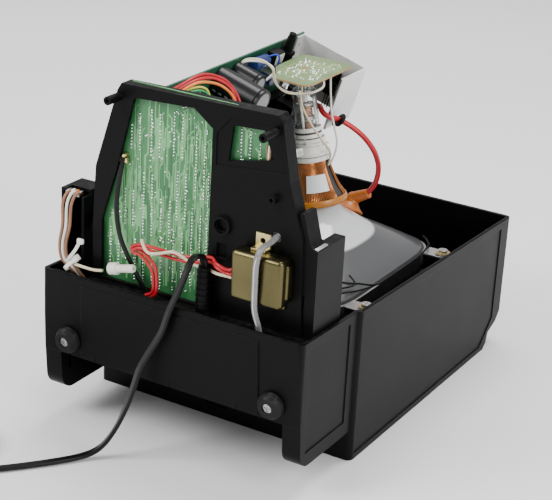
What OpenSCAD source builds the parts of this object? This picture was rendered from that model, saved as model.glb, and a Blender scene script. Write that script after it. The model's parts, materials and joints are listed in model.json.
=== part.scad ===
// Compact television-type display set, lying face down with its rear cover off.
// +Z points out of the back of the set, +Y to the top of the picture, X across it.

/* [Case] */
// Width of the case at the screen section
body_w = 241; // [220:1:290]
// Length of the case along its seam, base to top
body_l = 368; // [340:1:450]
// Height of the seam above the front face, at the base end
rim_h = 131.4; // [120:0.2:160]
// Fall of the seam from the base end to the top end
rim_drop = 12.7; // [6:0.1:18]
// Thickness of the moulded walls
wall = 3; // [2:0.1:4]
// Step of the side walls between base section and screen section
side_step = 3; // [1:0.5:6]
// Length of the base section, which holds the stowage recess
base_l = 84; // [70:1:110]
// Height of the recess between the two cheeks
recess_h = 62; // [45:1:80]
// Width of each cheek at the side of the recess
cheek_w = 15.5; // [10:0.5:25]
// Height of the cheeks' lower edge above the front face
cheek_z = 26; // [5:1:40]
// Radius of the case's upright corners
corner_r = 5; // [3:0.5:10]

/* [Feet] */
// Diameter of a rubber foot
foot_d = 21; // [12:0.5:30]
// Height of a rubber foot
foot_h = 8; // [4:0.5:15]
// Distance of each foot from the middle of the case
foot_x = 93; // [60:1:100]
// Height of the feet above the front face
foot_z = 76; // [70:1:100]

/* [Picture tube] */
// Half width of the glass at its skirt
tube_hx = 72; // [60:1:80]
// Half length of the glass at its skirt
tube_hy = 93; // [80:1:105]
// Middle of the tube along the case, from the middle of the part
tube_y = 44; // [36:1:50]
// Height of the skirt's rear edge
skirt_z = 96; // [90:1:104]
// Depth of the faceplate and its skirt
skirt_h = 24; // [18:1:30]
// Depth of the cone, from the skirt to the root of the neck
cone_h = 47; // [40:1:60]
// Radius of the glass neck
neck_r = 10.4; // [8:0.1:13]
// Length of the neck from its root
neck_l = 95; // [80:1:110]
// Lean of the neck towards the power board
neck_lean = 11.5; // [0:0.5:12]

/* [Chassis] */
// Thickness of the frame's plate
frame_t = 3; // [2:0.5:5]
// Depth of the frame's flange behind the plate
flange_d = 13; // [8:1:20]
// Height of the frame's top edge above the front face
frame_top = 289; // [275:1:300]
// Thickness of the circuit boards
pcb_t = 1.6; // [1:0.1:2.4]
// Lean of the power board from upright
board_lean = 16.5; // [8:0.5:20]
// Height of the power board's top edge
power_z = 273.5; // [262:0.5:285]
// Depth of the power board, measured down its face
power_h = 112; // [95:1:125]
// Thickness of the heat sink's sheet
sink_t = 1.5; // [1:0.1:3]
// Width of the mains transformer
trafo_w = 43; // [34:1:46]
// Height of the mains transformer
trafo_h = 38; // [30:1:44]

/* [Controls] */
// Radius of the volume knob
knob_r = 11; // [7:0.5:13]
// Travel of the reset button
button_travel = 3; // [1:0.5:5]

/* [Mains cord] */
// Width of the flat twin cord
cord_w = 6.4; // [5:0.1:8]
// Thickness of the flat twin cord
cord_t = 3.8; // [3:0.1:5]

/* [Hidden] */
$fn = 48;
eps = 0.01;
gap = 0.3;              // air between curved soft faces of neighbouring pieces

// The case
lean = 0.055;                         // draft of the base wall
lean_deg = atan(lean);
foot_out = foot_h + gap + lean * (foot_d / 2 - 3) - lean * (rim_h - foot_z);
near_y = foot_out - (body_l + foot_out) / 2;   // base wall at the seam; the feet stand out beyond it
far_y = near_y + body_l;
step_y = near_y + base_l;
shell_x = body_w / 2;
base_x = shell_x - side_step;
recess_x = base_x - cheek_w;
chin_l = 35;                          // length of the slanted chin at the top end
function rim_z(y) = rim_h - rim_drop * (y - near_y) / body_l;
function base_wall_y(z) = near_y + lean * (rim_h - z);
boss_z = 106;                         // tops of the rear-cover bosses
boss_hole_r = 1.6;
boss_xs = shell_x - 13;
boss_near = near_y + 14;
boss_far = far_y - 14;
ear_x = tube_hx + 17;
ear_y = tube_hy - 22;
ear_t = 1.6;
ear_z = skirt_z + ear_t;              // top of the band's ears
panel_x = 81.5;                       // edge of the proud base panel
slot_x = -14;

// The tube
face_z = skirt_z - skirt_h;
neck_z = skirt_z + cone_h;
na = [-sin(neck_lean), 0, cos(neck_lean)];
nu = [cos(neck_lean), 0, sin(neck_lean)];
neck_o = [0, tube_y, neck_z];
band_h = 12;
hood_x = tube_hx - 1;
hood_y = tube_hy - 2;
ring_r = neck_r + 0.4;

// The chassis
plate_y = near_y + 19.5;              // front of the frame's plate
plate_b = plate_y + frame_t;
logic_y = plate_b + 2;
power_top = [-53.6, 0, power_z];
power_y0 = plate_y + flange_d + 4;
power_y1 = tube_y + 57;
sink_w = 66;
sink_h = 50;
flange_y0 = tube_y + 13;
trafo_x = 52;
trafo_z = rim_h + 20;
hole_x = 79.3;
hole_z = 200;
shelf_z = rim_h - 5;
relief_x = 24;
relief_y = plate_y - 7.3;
box_x0 = -base_x + wall + 0.5;
box_x1 = -92.5;
box_y0 = near_y + 20;
box_y1 = box_y0 + 26;
box_top = rim_h + 62;
tie_z = rim_h + 7;                    // height of the tie round the switch's leads
knob_x = 0.5 + knob_r - shell_x;      // thumbwheel, its edge just outside the wall
knob_y = (box_y0 + box_y1) / 2;
knob_z0 = shelf_z - 18.4;
knob_z1 = knob_z0 + 10;
button_y = box_y1 + 16;
button_z = rim_h - 22;
spring_h = 12;
spring_x = -base_x + wall + 3.8;
speaker_y = 10;

// ---------------------------------------------------------------- helpers
function unit(v) = v / norm(v);
function tangents(p) = [for (i = [0:len(p) - 1]) unit(p[min(i + 1, len(p) - 1)] - p[max(i - 1, 0)])];
function normals(t, n0, i = 0) = i == len(t) ? [] :
    let (n = unit(n0 - (n0 * t[i]) * t[i])) concat([n], normals(t, n, i + 1));
function ring(c, t, n, ra, rb, k) =
    [for (j = [0:k - 1]) c + ra * cos(360 * j / k) * n + rb * sin(360 * j / k) * cross(t, n)];
// Points of a smooth curve through a route, with m steps between two of its points
function smooth(p, m) = concat([for (i = [0:len(p) - 2], s = [0:m - 1])
    let (a = p[max(i - 1, 0)], b = p[i], c = p[i + 1], d = p[min(i + 2, len(p) - 1)], t = s / m)
    0.5 * (2 * b + (c - a) * t + (2 * a - 5 * b + 4 * c - d) * t * t
        + (3 * b - a - 3 * c + d) * t * t * t)], [p[len(p) - 1]]);
// Ring of a rounded-rectangle section: half sizes hx and hy, squareness e
function box_ring(x, y, z, hx, hy, e, k) = [for (j = [0:k - 1])
    let (c = cos(360 * j / k), s = sin(360 * j / k))
    [x + hx * sign(c) * pow(abs(c), 2 / e), y + hy * sign(s) * pow(abs(s), 2 / e), z]];

module loft(rings) {
    k = len(rings[0]);
    m = len(rings);
    polyhedron(points = [for (r = rings, p = r) p],
        faces = concat([[for (j = [0:k - 1]) j]], [[for (j = [k - 1:-1:0]) (m - 1) * k + j]],
            [for (i = [0:m - 2], j = [0:k - 1])
                [i * k + j, (i + 1) * k + j, (i + 1) * k + (j + 1) % k, i * k + (j + 1) % k]]));
}

// A tube along a route, with half widths ra and rb; side is the direction of ra
module hose(p, ra, rb, k, side) {
    t = tangents(p);
    n = normals(t, side);
    loft([for (i = [0:len(p) - 1]) ring(p[i], t[i], n[i], ra, rb, k)]);
}

module wire(route, r, m = 3, side = [0, 1, 0.2]) {
    hose(smooth(route, m), r, r, 8, side);
}

module round_rect(x0, y0, x1, y1, r) {
    translate([x0 + r, y0]) square([x1 - x0 - 2 * r, y1 - y0]);
    translate([x0, y0 + r]) square([x1 - x0, y1 - y0 - 2 * r]);
    for (x = [x0 + r, x1 - r], y = [y0 + r, y1 - r]) translate([x, y]) circle(r);
}

module slab(x0, y0, z0, x1, y1, z1) {
    translate([x0, y0, z0]) cube([x1 - x0, y1 - y0, z1 - z0]);
}

// Side outlines in (y, z) pushed across X
module across(half) { translate([-half, 0, 0]) rotate([90, 0, 90]) linear_extrude(2 * half) children(); }
module upright(z0, z1) { translate([0, 0, z0]) linear_extrude(z1 - z0) children(); }
// Plates whose outline is in (x, z), from y0 to y1
module facing(y0, y1) { translate([0, y1, 0]) rotate([90, 0, 0]) linear_extrude(y1 - y0) children(); }
module in_neck() { translate(neck_o) rotate([0, -neck_lean, 0]) children(); }
// Frame of the power board: x out of its parts side, y along it, z up its face from its top edge
module on_power() { translate(power_top) rotate([0, board_lean, 0]) children(); }
module pan_screw(r, h, head_r, head_h) {
    translate([0, 0, -h]) cylinder(r = r, h = h + eps);
    difference() {
        cylinder(r = head_r, h = head_h);
        translate([-head_r * 0.7, -0.5, head_h - 0.8]) cube([head_r * 1.4, 1, 2]);
        translate([-0.5, -head_r * 0.7, head_h - 0.8]) cube([1, head_r * 1.4, 2]);
    }
}

// ---------------------------------------------------------------- the case
module screen_side(in, floor_z) {
    polygon([[step_y - 1 + in, floor_z], [far_y - chin_l - in * 0.3, floor_z],
        [far_y - chin_l + 6 - in, 5 + in], [far_y - chin_l + 9 - in, 14 + in * 0.6],
        [far_y - 11 - in, 20 + in * 0.6], [far_y - 2.5 - in, 30],
            [far_y - in, rim_z(far_y) + (in > 0 ? 20 : 0)],
        [step_y - 1 + in, rim_z(step_y) + (in > 0 ? 20 : 0)]]);
}

module base_side(in, z0) {
    polygon([[base_wall_y(z0) + in, z0], [step_y + 6, z0],
        [step_y + 6, rim_z(step_y + 6) + (in > 0 ? 20 : 0)], [near_y + in, rim_h + (in > 0 ? 20 : 0)]]);
}

module cheek_side(in) {
    r = 14 - in;
    y0 = base_wall_y(cheek_z) + in;
    z0 = cheek_z + in;
    translate([y0 + r, z0]) square([step_y - y0 - r + (in > 0 ? -in - 1 : 1), 70]);
    translate([y0 + r, z0 + r]) circle(r);
    polygon([[y0, z0 + r], [y0 + r + 1, z0 + r], [y0 + r + 1, recess_h + 10],
        [base_wall_y(recess_h + 10) + in, recess_h + 10]]);
}

module case_outline() {
    intersection() {
        across(shell_x) screen_side(0, 0);
        upright(-1, 200) round_rect(-shell_x, step_y - 1, shell_x, far_y, corner_r);
    }
    intersection() {
        union() {
            across(base_x) base_side(0, recess_h);
            for (s = [-1, 1]) translate([s * (base_x - cheek_w / 2), 0,
                0]) across(cheek_w / 2) cheek_side(0);
        }
        upright(0, 200) round_rect(-base_x, near_y, base_x, step_y + 20, corner_r);
    }
    // proud panel between the feet
    facing(base_wall_y(recess_h) - 4, base_wall_y(recess_h) + 1) polygon([[-panel_x, recess_h + 2],
        [panel_x, recess_h + 2], [panel_x - 1, rim_h - 6], [-panel_x + 1, rim_h - 6]]);
}

module case_hollow() {
    intersection() {
        across(shell_x - wall) screen_side(wall, wall);
        upright(-1, 200) round_rect(-shell_x + wall, step_y - 1 + wall, shell_x - wall, far_y - wall,
            corner_r - 1);
    }
    intersection() {
        across(base_x - wall) base_side(wall, recess_h + wall);
        upright(0, 200) round_rect(-base_x + wall, near_y + wall, base_x - wall, step_y + 20,
            corner_r - 1);
    }
    for (s = [-1, 1]) translate([s * (base_x - cheek_w / 2), 0, 0]) intersection() {
        across(cheek_w / 2 - wall) cheek_side(wall);
        slab(-50, near_y, cheek_z, 50, step_y - 4, recess_h + wall + 1);
    }
}

module front_shell() color([0.09, 0.09, 0.09]) {
    difference() {
        case_outline();
        case_hollow();
        // everything in front of the draft of the base wall's proud panel
        translate([0, -0.9, 0]) across(panel_x + 5) polygon([[near_y - 20, 0], [base_wall_y(0), 0],
            [near_y, rim_h], [near_y, 200], [near_y - 20, 200]]);
        // screen opening
        upright(-1, wall + 1) round_rect(-hood_x - gap, tube_y - hood_y - gap, hood_x + gap,
            tube_y + hood_y + gap, 12);
        // inset panels in the side walls
        for (s = [-1, 1]) {
            translate([s * (shell_x + 4.2), 0, 0]) across(5) polygon([[step_y + 4, 5],
                [far_y - chin_l - 8, 5], [far_y - 20, 26], [far_y - 20, rim_z(far_y - 20) - 7],
                [step_y + 4, rim_z(step_y + 4) - 7]]);
            translate([s * (base_x + 4.2), 0, 0]) across(5) polygon([[near_y + 13, cheek_z + 12],
                [step_y - 11, cheek_z + 12], [step_y - 11, rim_z(step_y - 11) - 7],
                [near_y + 11, rim_h - 8]]);
        }
        // latch slot in the recess, and a slot in each cheek
        slab(slot_x, step_y - 5, 10, slot_x + 20, step_y + 10, 13);
        for (s = [-1, 1]) slab(s * recess_x - 3.5, near_y + 14, 44, s * recess_x + 3.5, near_y + 18, 60);
        // socket window in the recess
        slab(38 - 15, step_y - 5, 22, 38 + 15, step_y + 10, 36);
        // holes of the feet
        for (s = [-1, 1]) translate([s * foot_x, base_wall_y(foot_z) - 5, foot_z]) rotate([-90, 0, 0])
            cylinder(r = 2.4, h = 12);
        // hole of the button and slot of the thumbwheel in the side wall
        translate([-base_x - 1, button_y, button_z]) rotate([0, 90, 0]) cylinder(r = 6.3, h = wall + 2);
        slab(-base_x - 1, knob_y - 10.5, knob_z0 - 1.2, -base_x + wall + 1, knob_y + 10.5, knob_z1 + 1.2);
        // sound slots under the speaker
        for (i = [-4:4]) slab(-shell_x - 1, speaker_y - 1 + i * 5, 32, -shell_x + wall + 1,
            speaker_y + 1 + i * 5, 72);
    }
    // inner lip of the seam at the base end
    slab(-base_x + 11, near_y + 1.4, rim_h - 2, -12, near_y + wall, rim_h + 1.2);
    slab(-base_x + 6, near_y + wall - eps, rim_h - 6, base_x - 6, near_y + wall + 1.2, rim_h - 1.6);
    // rear-cover bosses
    for (p = [[-boss_xs, boss_near], [boss_xs, boss_near]]) rear_boss(p[0], p[1], recess_h + 1);
    for (p = [[-boss_xs, boss_far], [boss_xs, boss_far]]) rear_boss(p[0], p[1], 18);
    // gussets that tie the bosses to the walls
    for (s = [-1, 1]) {
        slab(s > 0 ? boss_xs + 4.5 : -shell_x + 1, boss_far - 1.2, 30,
            s > 0 ? shell_x - 1 : -boss_xs - 4.5,
            boss_far + 1.2, boss_z - 2);
        slab(s > 0 ? boss_xs + 4.5 : -base_x + 1, boss_near - 1.2, recess_h + 1,
            s > 0 ? base_x - 1 : -boss_xs - 4.5, boss_near + 1.2, boss_z - 2);
    }
    // posts for the tube's ears
    for (sx = [-1, 1], sy = [-1, 1]) difference() {
        union() {
            translate([sx * ear_x, tube_y + sy * ear_y, wall - 0.5])
                cylinder(r = 6.5, h = ear_z - ear_t - wall + 0.5);
            slab(sx > 0 ? ear_x + 5 : -shell_x + 1, tube_y + sy * ear_y - 1.2, wall - 0.5,
                sx > 0 ? shell_x - 1 : -ear_x - 5, tube_y + sy * ear_y + 1.2, ear_z - ear_t - 8);
        }
        translate([sx * ear_x, tube_y + sy * ear_y, ear_z - 20]) cylinder(r = 1.9, h = 30);
    }
    // seat of the button's spring
    slab(spring_x + spring_h + 0.2, button_y - 9, recess_h + 1, spring_x + spring_h + 2.6, button_y + 9,
        button_z + 8);
    // rails that carry the chassis frame's shelf
    for (x = [-70, 0, 60]) slab(x, near_y + wall - 0.5, recess_h + 1, x + 2.4, plate_y + 26, shelf_z - 3);
}

module rear_boss(x, y, z0) {
    difference() {
        translate([x, y, z0]) cylinder(r = 5, h = boss_z - z0);
        translate([x, y, boss_z - 16]) cylinder(r = boss_hole_r, h = 20);
    }
}

// Tunnel from the front face to the glass
module screen_hood() color([0.05, 0.05, 0.05]) {
    top = 0.95;
    difference() {
        upright(0, face_z - 1.6) round_rect(-hood_x, tube_y - hood_y, hood_x, tube_y + hood_y, 12);
        translate([0, tube_y, -eps]) linear_extrude(height = face_z + 1, scale = [top, top])
            round_rect(-hood_x + wall, -hood_y + wall, hood_x - wall, hood_y - wall, 11);
    }
    difference() {
        upright(wall + 0.2, wall + 2.2) round_rect(-hood_x - 7, tube_y - hood_y - 7, hood_x + 7,
            tube_y + hood_y + 7, 14);
        upright(0, wall + 5) round_rect(-hood_x + 0.5, tube_y - hood_y + 0.5, hood_x - 0.5,
            tube_y + hood_y - 0.5, 12);
    }
}

// ---------------------------------------------------------------- the picture tube
glass_k = 48;
// Depth below or above the skirt, share of the half width and length, squareness
cone_steps = [[0, 1, 1, 6], [0.08, 0.97, 0.97, 5.2], [0.2, 0.88, 0.885, 4.2], [0.38, 0.73, 0.73, 3.3],
    [0.56, 0.585, 0.56, 2.8], [0.74, 0.45, 0.42, 2.45], [0.89, 0.345, 0.30, 2.15]];
face_steps = [[-0.30, 0.1, 0.1, 2], [-0.26, 0.42, 0.42, 2.3], [-0.16, 0.74, 0.74, 3],
    [-0.03, 0.93, 0.94, 4.6],
    [0.08, 0.985, 0.985, 5.6], [0.25, 1, 1, 6]];
neck_steps = [[0, 20], [6, 16], [12, 13.2], [20, 11.4], [30, neck_r], [neck_l - 2, neck_r],
    [neck_l, neck_r - 1.6]];

module picture_tube() color([0.30, 0.31, 0.31]) {
    loft(concat(
        [for (s = face_steps) box_ring(0, tube_y, face_z + s[0] * skirt_h, tube_hx * s[1], tube_hy * s[2],
            s[3], glass_k)],
        [for (s = cone_steps) box_ring(0, tube_y, skirt_z + s[0] * cone_h, tube_hx * s[1], tube_hy * s[2],
            s[3], glass_k)],
        [for (s = neck_steps) ring(neck_o + na * s[0], na, nu, s[1], s[1], glass_k)]));
}

module skirt_outline(more) {
    polygon([for (p = box_ring(0, tube_y, 0, tube_hx + more, tube_hy + more, 6, glass_k)) [p[0], p[1]]]);
}

module tube_band() color([0.62, 0.62, 0.60]) {
    difference() {
        upright(skirt_z - band_h, skirt_z) skirt_outline(gap + 1.6);
        upright(skirt_z - band_h - 1, skirt_z + 1) skirt_outline(gap);
    }
    for (sx = [-1, 1], sy = [-1, 1]) difference() {
        union() {
            slab(sx > 0 ? tube_hx + gap + 0.6 : -ear_x, tube_y + sy * ear_y - 8, skirt_z,
                sx > 0 ? ear_x : -tube_hx - gap - 0.6, tube_y + sy * ear_y + 8, ear_z);
            translate([sx * ear_x, tube_y + sy * ear_y, skirt_z]) cylinder(r = 8, h = ear_t);
            slab(sx > 0 ? tube_hx + gap + 0.6 : -tube_hx - gap - 1.6, tube_y + sy * ear_y - 8,
                skirt_z - 9,
                sx > 0 ? tube_hx + gap + 1.6 : -tube_hx - gap - 0.6, tube_y + sy * ear_y + 8, ear_z);
        }
        translate([sx * ear_x, tube_y + sy * ear_y, skirt_z - 5]) cylinder(r = 2.4, h = 20);
    }
}

module tube_screws() color([0.80, 0.72, 0.42]) {
    for (sx = [-1, 1], sy = [-1, 1]) translate([sx * ear_x, tube_y + sy * ear_y, ear_z]) {
        translate([0, 0, 0.2]) difference() {
            cylinder(r = 7, h = 1);
            translate([0, 0, -1]) cylinder(r = 2.2, h = 4);
        }
        translate([0, 0, 1.2]) pan_screw(1.75, 15, 4, 3);
    }
}

module deflection_yoke() color([0.62, 0.30, 0.10]) in_neck() {
    rotate_extrude() polygon([[23.8, 5.8], [26.6, 4.6], [27.2, 6.8], [24.6, 10], [21, 17], [18, 25],
        [15.6, 34],
        [15, 42], [16.5, 43], [16.5, 46], [neck_r + 0.7, 46], [neck_r + 0.7, 31], [12.8, 20],
            [15.4, 12.4],
        [19.8, 8]]);
    for (a = [0, 180]) rotate([0, 0, a]) translate([17.4, -9, 8]) rotate([0, -14, 0]) cube([5.6, 18, 24]);
}

lug_turn = -110;                      // lug of the yoke's clamp, about the neck
module yoke_clamp() color([0.88, 0.87, 0.82]) in_neck() {
    difference() {
        union() {
            translate([0, 0, 46.3]) cylinder(r = 17, h = 2);
            translate([0, 0, 46.3]) cylinder(r = 13.2, h = 8);
            rotate([0, 0, lug_turn]) slab(11, -5, 48, 19.5, 5, 54.3);
        }
        translate([0, 0, 40]) cylinder(r = neck_r + 0.3, h = 20);
        rotate([0, 0, lug_turn]) {
            slab(8, -1, 48.3, 21, 1, 60);
            translate([16, -8, 51.2]) rotate([-90, 0, 0]) cylinder(r = 1.6, h = 20);
        }
    }
}

module clamp_screw() color([0.75, 0.75, 0.72]) in_neck() {
    rotate([0, 0, lug_turn]) translate([16, -5.2, 51.2]) rotate([90, 0, 0]) pan_screw(1.45, 12.2, 2.8, 2);
}

module centring_ring(s0) {
    difference() {
        union() {
            translate([0, 0, s0]) cylinder(r = neck_r + 3.2, h = 2.6);
            slab(neck_r + 2, -2.5, s0, neck_r + 7.5, 2.5, s0 + 1.6);
        }
        translate([0, 0, s0 - 1]) cylinder(r = ring_r, h = 5);
    }
}

module centring_ring_front() color([0.92, 0.91, 0.86]) in_neck() centring_ring(54.6);
module centring_ring_rear() color([0.92, 0.91, 0.86]) in_neck() rotate([0, 0, -60]) centring_ring(57.6);

// The socket stands square to the neck board, over the end of the neck
board_z = 259;
sock_x = -sin(neck_lean) * (neck_l + 20);
sock_y = tube_y;
module neck_socket() color([0.10, 0.10, 0.10]) {
    difference() {
        union() {
            translate([sock_x + 1.5, sock_y, board_z - 24]) cylinder(r = 17, h = 23.4);
            slab(sock_x + 12, sock_y - 6, board_z - 20, sock_x + 23, sock_y + 6, board_z - 0.6);
        }
        translate([sock_x + 1.5, sock_y, board_z - 30]) cylinder(r = 15, h = 25);
    }
}

// Board outline with its cut corner, soldered side up
nb = [[-42, 34], [-24, 4], [4, 2], [8, 8], [8, 76], [2, 81], [-40, 81], [-43, 78]];
module neck_board() color([0.42, 0.52, 0.36]) {
    difference() {
        upright(board_z, board_z + pcb_t) polygon([for (p = nb) [p[0], p[1] + tube_y - 44]]);
        for (p = [[-36, 74], [2, 12]]) translate([p[0], p[1] + tube_y - 44, board_z - 1])
            cylinder(r = 1.6, h = 4);
    }
}

// Rubber cup over the anode button, with its elbow
cup = [4, tube_y + 52, skirt_z + 27.1];
cup_tilt = 31;
module anode_cup() color([0.80, 0.36, 0.13]) translate(cup) {
    rotate([-cup_tilt, 0, 0]) rotate_extrude() polygon([[0, 0.8], [12, 0], [12.5, 1.4], [9, 4.5], [6, 8],
        [6, 11], [0, 11]]);
    translate([0, 6, 10.5]) rotate([0, 62, 0]) cylinder(r1 = 5.6, r2 = 4.2, h = 17);
    translate([0, 6, 10.5]) sphere(r = 5.8, $fn = 32);
}

lead_r = 2.1;
lead_route = [[-38, 66, 222], [-28, 68, 222], [-18, 64.5, 224], [-11, 59, 225], [-6.5, 53.8, 224],
    [-2, 52.7, 221.2], [2.3, 57.4, 218.5], [6.4, 64, 215.8], [15, 72, 208.6], [23.4, 79, 199.2],
    [29, 86, 187.4], [30.9, 91, 177], [29.4, 95, 168], [25.6, 98.5, 159.5], [20.5, 101, 152]];
module anode_lead() color([0.72, 0.06, 0.08]) wire(lead_route, lead_r, 2);

// Clip that hangs from the heat sink's sheet and holds the lead
module lead_clip() color([0.06, 0.06, 0.06]) {
    translate([6.4, 64, 215.8]) rotate([0, 125, 38]) rotate_extrude()
        translate([lead_r + 2.2, 0]) circle(r = 1.9, $fn = 24);
    slab(-1.6, 64, 209.5, 3, 68, 213);
}

// Bare earthing wire, clipped round the glass
earth_route = [[40, -15, 114.2], [58, -20, 110], [71.2, -6, 107], [76.8, 10, 101.6], [76.8, 30, 99.5],
    [76.8, 60, 99.5], [76.5, 90, 99.5], [73, 120, 101], [60, 134, 101.5]];
module earth_wire() color([0.25, 0.25, 0.25]) {
    wire(earth_route, 0.9, 2);
}

// ---------------------------------------------------------------- the chassis
frame_outline = [[-83, shelf_z], [-83, 176], [-82, 202], [-81, 219], [-62, 282], [-58.5, frame_top - 1],
    [76, frame_top + 2], [80.5, frame_top - 3], [88.6, 243], [94.5, 223], [101.5, 203], [104, shelf_z]];

module chassis_frame() color([0.07, 0.07, 0.07]) {
    difference() {
        union() {
            facing(plate_y, plate_y + flange_d) polygon(frame_outline);
            // shoulder blocks at the right
            facing(plate_y + 2, plate_y + flange_d + 6) polygon([[92, 160], [97, 222], [100.5, 222],
                [106.5, 200],
                [112, 196], [112, 160]]);
            facing(plate_y + 2, plate_y + flange_d + 30) polygon([[104, shelf_z], [104, 196],
                [113.2, 196],
                [113.2, shelf_z]]);
            // shelf under the frame
            slab(-100, near_y + wall + 2, shelf_z - 2.6, 112, plate_y + 26, shelf_z);
        }
        // hollow behind the plate
        facing(plate_b, plate_y + flange_d + 31) intersection() {
            polygon([for (p = frame_outline) [p[0] + (p[0] > 0 ? -3 : 3),
                p[1] > 270 ? p[1] - 3 : (p[1] < 150 ? p[1] - 20 : p[1] - 1)]]);
            translate([-200, shelf_z + eps]) square([300, 300]);
        }
        // window over the logic board
        facing(plate_y - 5, plate_b + 1) polygon([[-75, shelf_z + 3], [-75, 177], [-62, 219.5],
            [-47, 279],
            [6, 282], [22.5, 270], [21.6, shelf_z + 3]]);
        // small window
        facing(plate_y - 5, plate_b + 1) polygon([[39.3, 276], [65, 277.5], [73.8, 257], [36.1, 248.5]]);
        // pocket above the rib
        facing(plate_y - 1, plate_y + 0.8) polygon([[26, 243.5], [26, 268], [37, 281], [78, 283],
            [86, 249]]);
        // square pocket and cable hole
        slab(29.5, plate_y - 1, 172, 38, plate_y + 1.8, 183.5);
        translate([hole_x, plate_y - 1, hole_z]) rotate([-90, 0, 0]) cylinder(r = 4.4, h = 6);
        translate([34, plate_y - 1, 198.3]) rotate([-90, 0, 0]) cylinder(r = 5, h = 6);
        // shelf cut-outs for the strain relief and leads
        translate([relief_x, relief_y, shelf_z - 4]) cylinder(r = 5.2, h = 8);
        slab(66, near_y + wall + 4, shelf_z - 4, 88, near_y + wall + 12, shelf_z + 1);
        slab(-60, near_y + wall + 4, shelf_z - 4, -30, near_y + wall + 10, shelf_z + 1);
        slab(-99, box_y0 - 12, shelf_z - 4, -85.2, plate_y + 4, shelf_z + 1);
        for (x = [-76, 50]) translate([x, plate_y + 20, shelf_z - 4]) cylinder(r = 1.8, h = 8);
    }
    // ring boss
    difference() {
        translate([34, plate_y + 1, 198.3]) rotate([90, 0, 0]) cylinder(r = 7.4, h = 4);
        translate([34, plate_y + 5, 198.3]) rotate([90, 0, 0]) cylinder(r = 5.6, h = 12);
    }
    // posts that hold the rear cover's inner wall
    for (p = [[-61, 277, 14], [76, 279.5, 20], [76.5, 229, 5]]) difference() {
        translate([p[0], plate_y + 1, p[1]]) rotate([90, 0, 0]) cylinder(r = 3.3, h = p[2] + 1);
        translate([p[0], plate_y - p[2] - 1, p[1]]) rotate([-90, 0, 0]) cylinder(r = 1.5, h = 6);
    }
    // arm and rail that carry the power board
    on_power() {
        slab(-4.5, plate_b + 4, -power_h - 6, 5, power_y1, -power_h - 0.3);
        slab(-4.5, plate_b + 4, -power_h - 1, -pcb_t - 0.3, power_y1, -power_h + 5);
        slab(0.3, plate_b + 4, -power_h - 1, 3, power_y1, -power_h + 3);
    }
    // leg of the rail at the top end
    difference() {
        slab(-98, power_y1 - 16, wall + 0.3, -89, power_y1 - 6,
            power_z - cos(board_lean) * (power_h + 2) - 2);
        slab(-99, power_y1 - 14, 10, -91, power_y1 - 8, 130);
    }
}

module frame_screws() color([0.70, 0.70, 0.68]) {
    for (x = [-76, 50]) translate([x, plate_y + 20, shelf_z + 0.2]) pan_screw(1.6, 2.7, 3.4, 2.2);
}

module logic_board() color([0.18, 0.52, 0.26]) {
    difference() {
        facing(logic_y, logic_y + pcb_t) polygon([[-77, shelf_z + 1], [-77, 214], [-58.4, 277],
            [-54, 283],
            [68, 285], [76, 272], [76, 246], [30, 246], [30, shelf_z + 1]]);
        for (p = [[-57, 272], [64, 279], [24, 140], [-72, 140]]) translate([p[0], logic_y - 1, p[1]])
            rotate([-90, 0, 0]) cylinder(r = 1.9, h = 5);
    }
}

// Parts on the hidden side of the logic board
module logic_chips() color([0.10, 0.10, 0.11]) {
    for (c = [[-62, 152, 40], [-44, 154, 50], [-26, 160, 36], [-8, 150, 36], [10, 154, 50],
        [-60, 205, 30],
        [-40, 215, 40], [-20, 215, 50], [2, 215, 40], [18, 205, 30]])
        slab(c[0] - 3.2, logic_y + pcb_t + 0.6, c[1] - c[2] / 2, c[0] + 3.2, logic_y + pcb_t + 4,
            c[1] + c[2] / 2);
}

module board_screws() color([0.72, 0.72, 0.70]) {
    for (p = [[-57, 272], [64, 279], [24, 140],
        [-72, 140]]) translate([p[0], logic_y + pcb_t + 0.1, p[1]])
        rotate([-90, 0, 0]) pan_screw(1.6, 2.2, 3.2, 2);
}

module power_board() color([0.10, 0.34, 0.20]) on_power() difference() {
    slab(-pcb_t, power_y0, -power_h, 0, power_y1, 0);
    for (p = [[power_y0 + 8, -8], [power_y1 - 8, -80], [power_y0 + 8, -power_h + 12]])
        translate([-3, p[0], p[1]]) rotate([0, 90, 0]) cylinder(r = 1.8, h = 6);
}

module heat_sink() color([0.74, 0.74, 0.73]) on_power() difference() {
    union() {
        slab(0.3, power_y1 - sink_t - 1, -sink_h, sink_w, power_y1 - 1, -1.2);
        slab(sink_w - sink_t, flange_y0, -sink_h, sink_w, power_y1 - 1, -1.2);
        slab(0.3, power_y1 - 13, -sink_h, 0.3 + sink_t, power_y1 - 1, -1.2);
    }
    for (x = [20, 42]) translate([x, power_y1 + 2, -22]) rotate([90, 0, 0]) cylinder(r = 1.7, h = 8);
    for (z = [-10, -38]) translate([-1, power_y1 - 7, z]) rotate([0, 90, 0]) cylinder(r = 1.7, h = 5);
}

module power_transistors() color([0.12, 0.12, 0.12]) on_power() {
    for (x = [20, 42]) {
        slab(x - 5, power_y1 - sink_t - 5.8, -38, x + 5, power_y1 - sink_t - 1.1, -26);
        slab(x - 5, power_y1 - sink_t - 2.4, -26, x + 5, power_y1 - sink_t - 1.1, -16);
        for (d = [-2.5, 0, 2.5]) slab(x + d - 0.4, power_y1 - sink_t - 4, -50, x + d + 0.4,
            power_y1 - sink_t - 3.4, -37.9);
        translate([x, power_y1 - sink_t - 2.5, -22]) rotate([90, 0, 0]) pan_screw(1.3, 3.8, 2.6, 1.8);
    }
}

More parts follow.
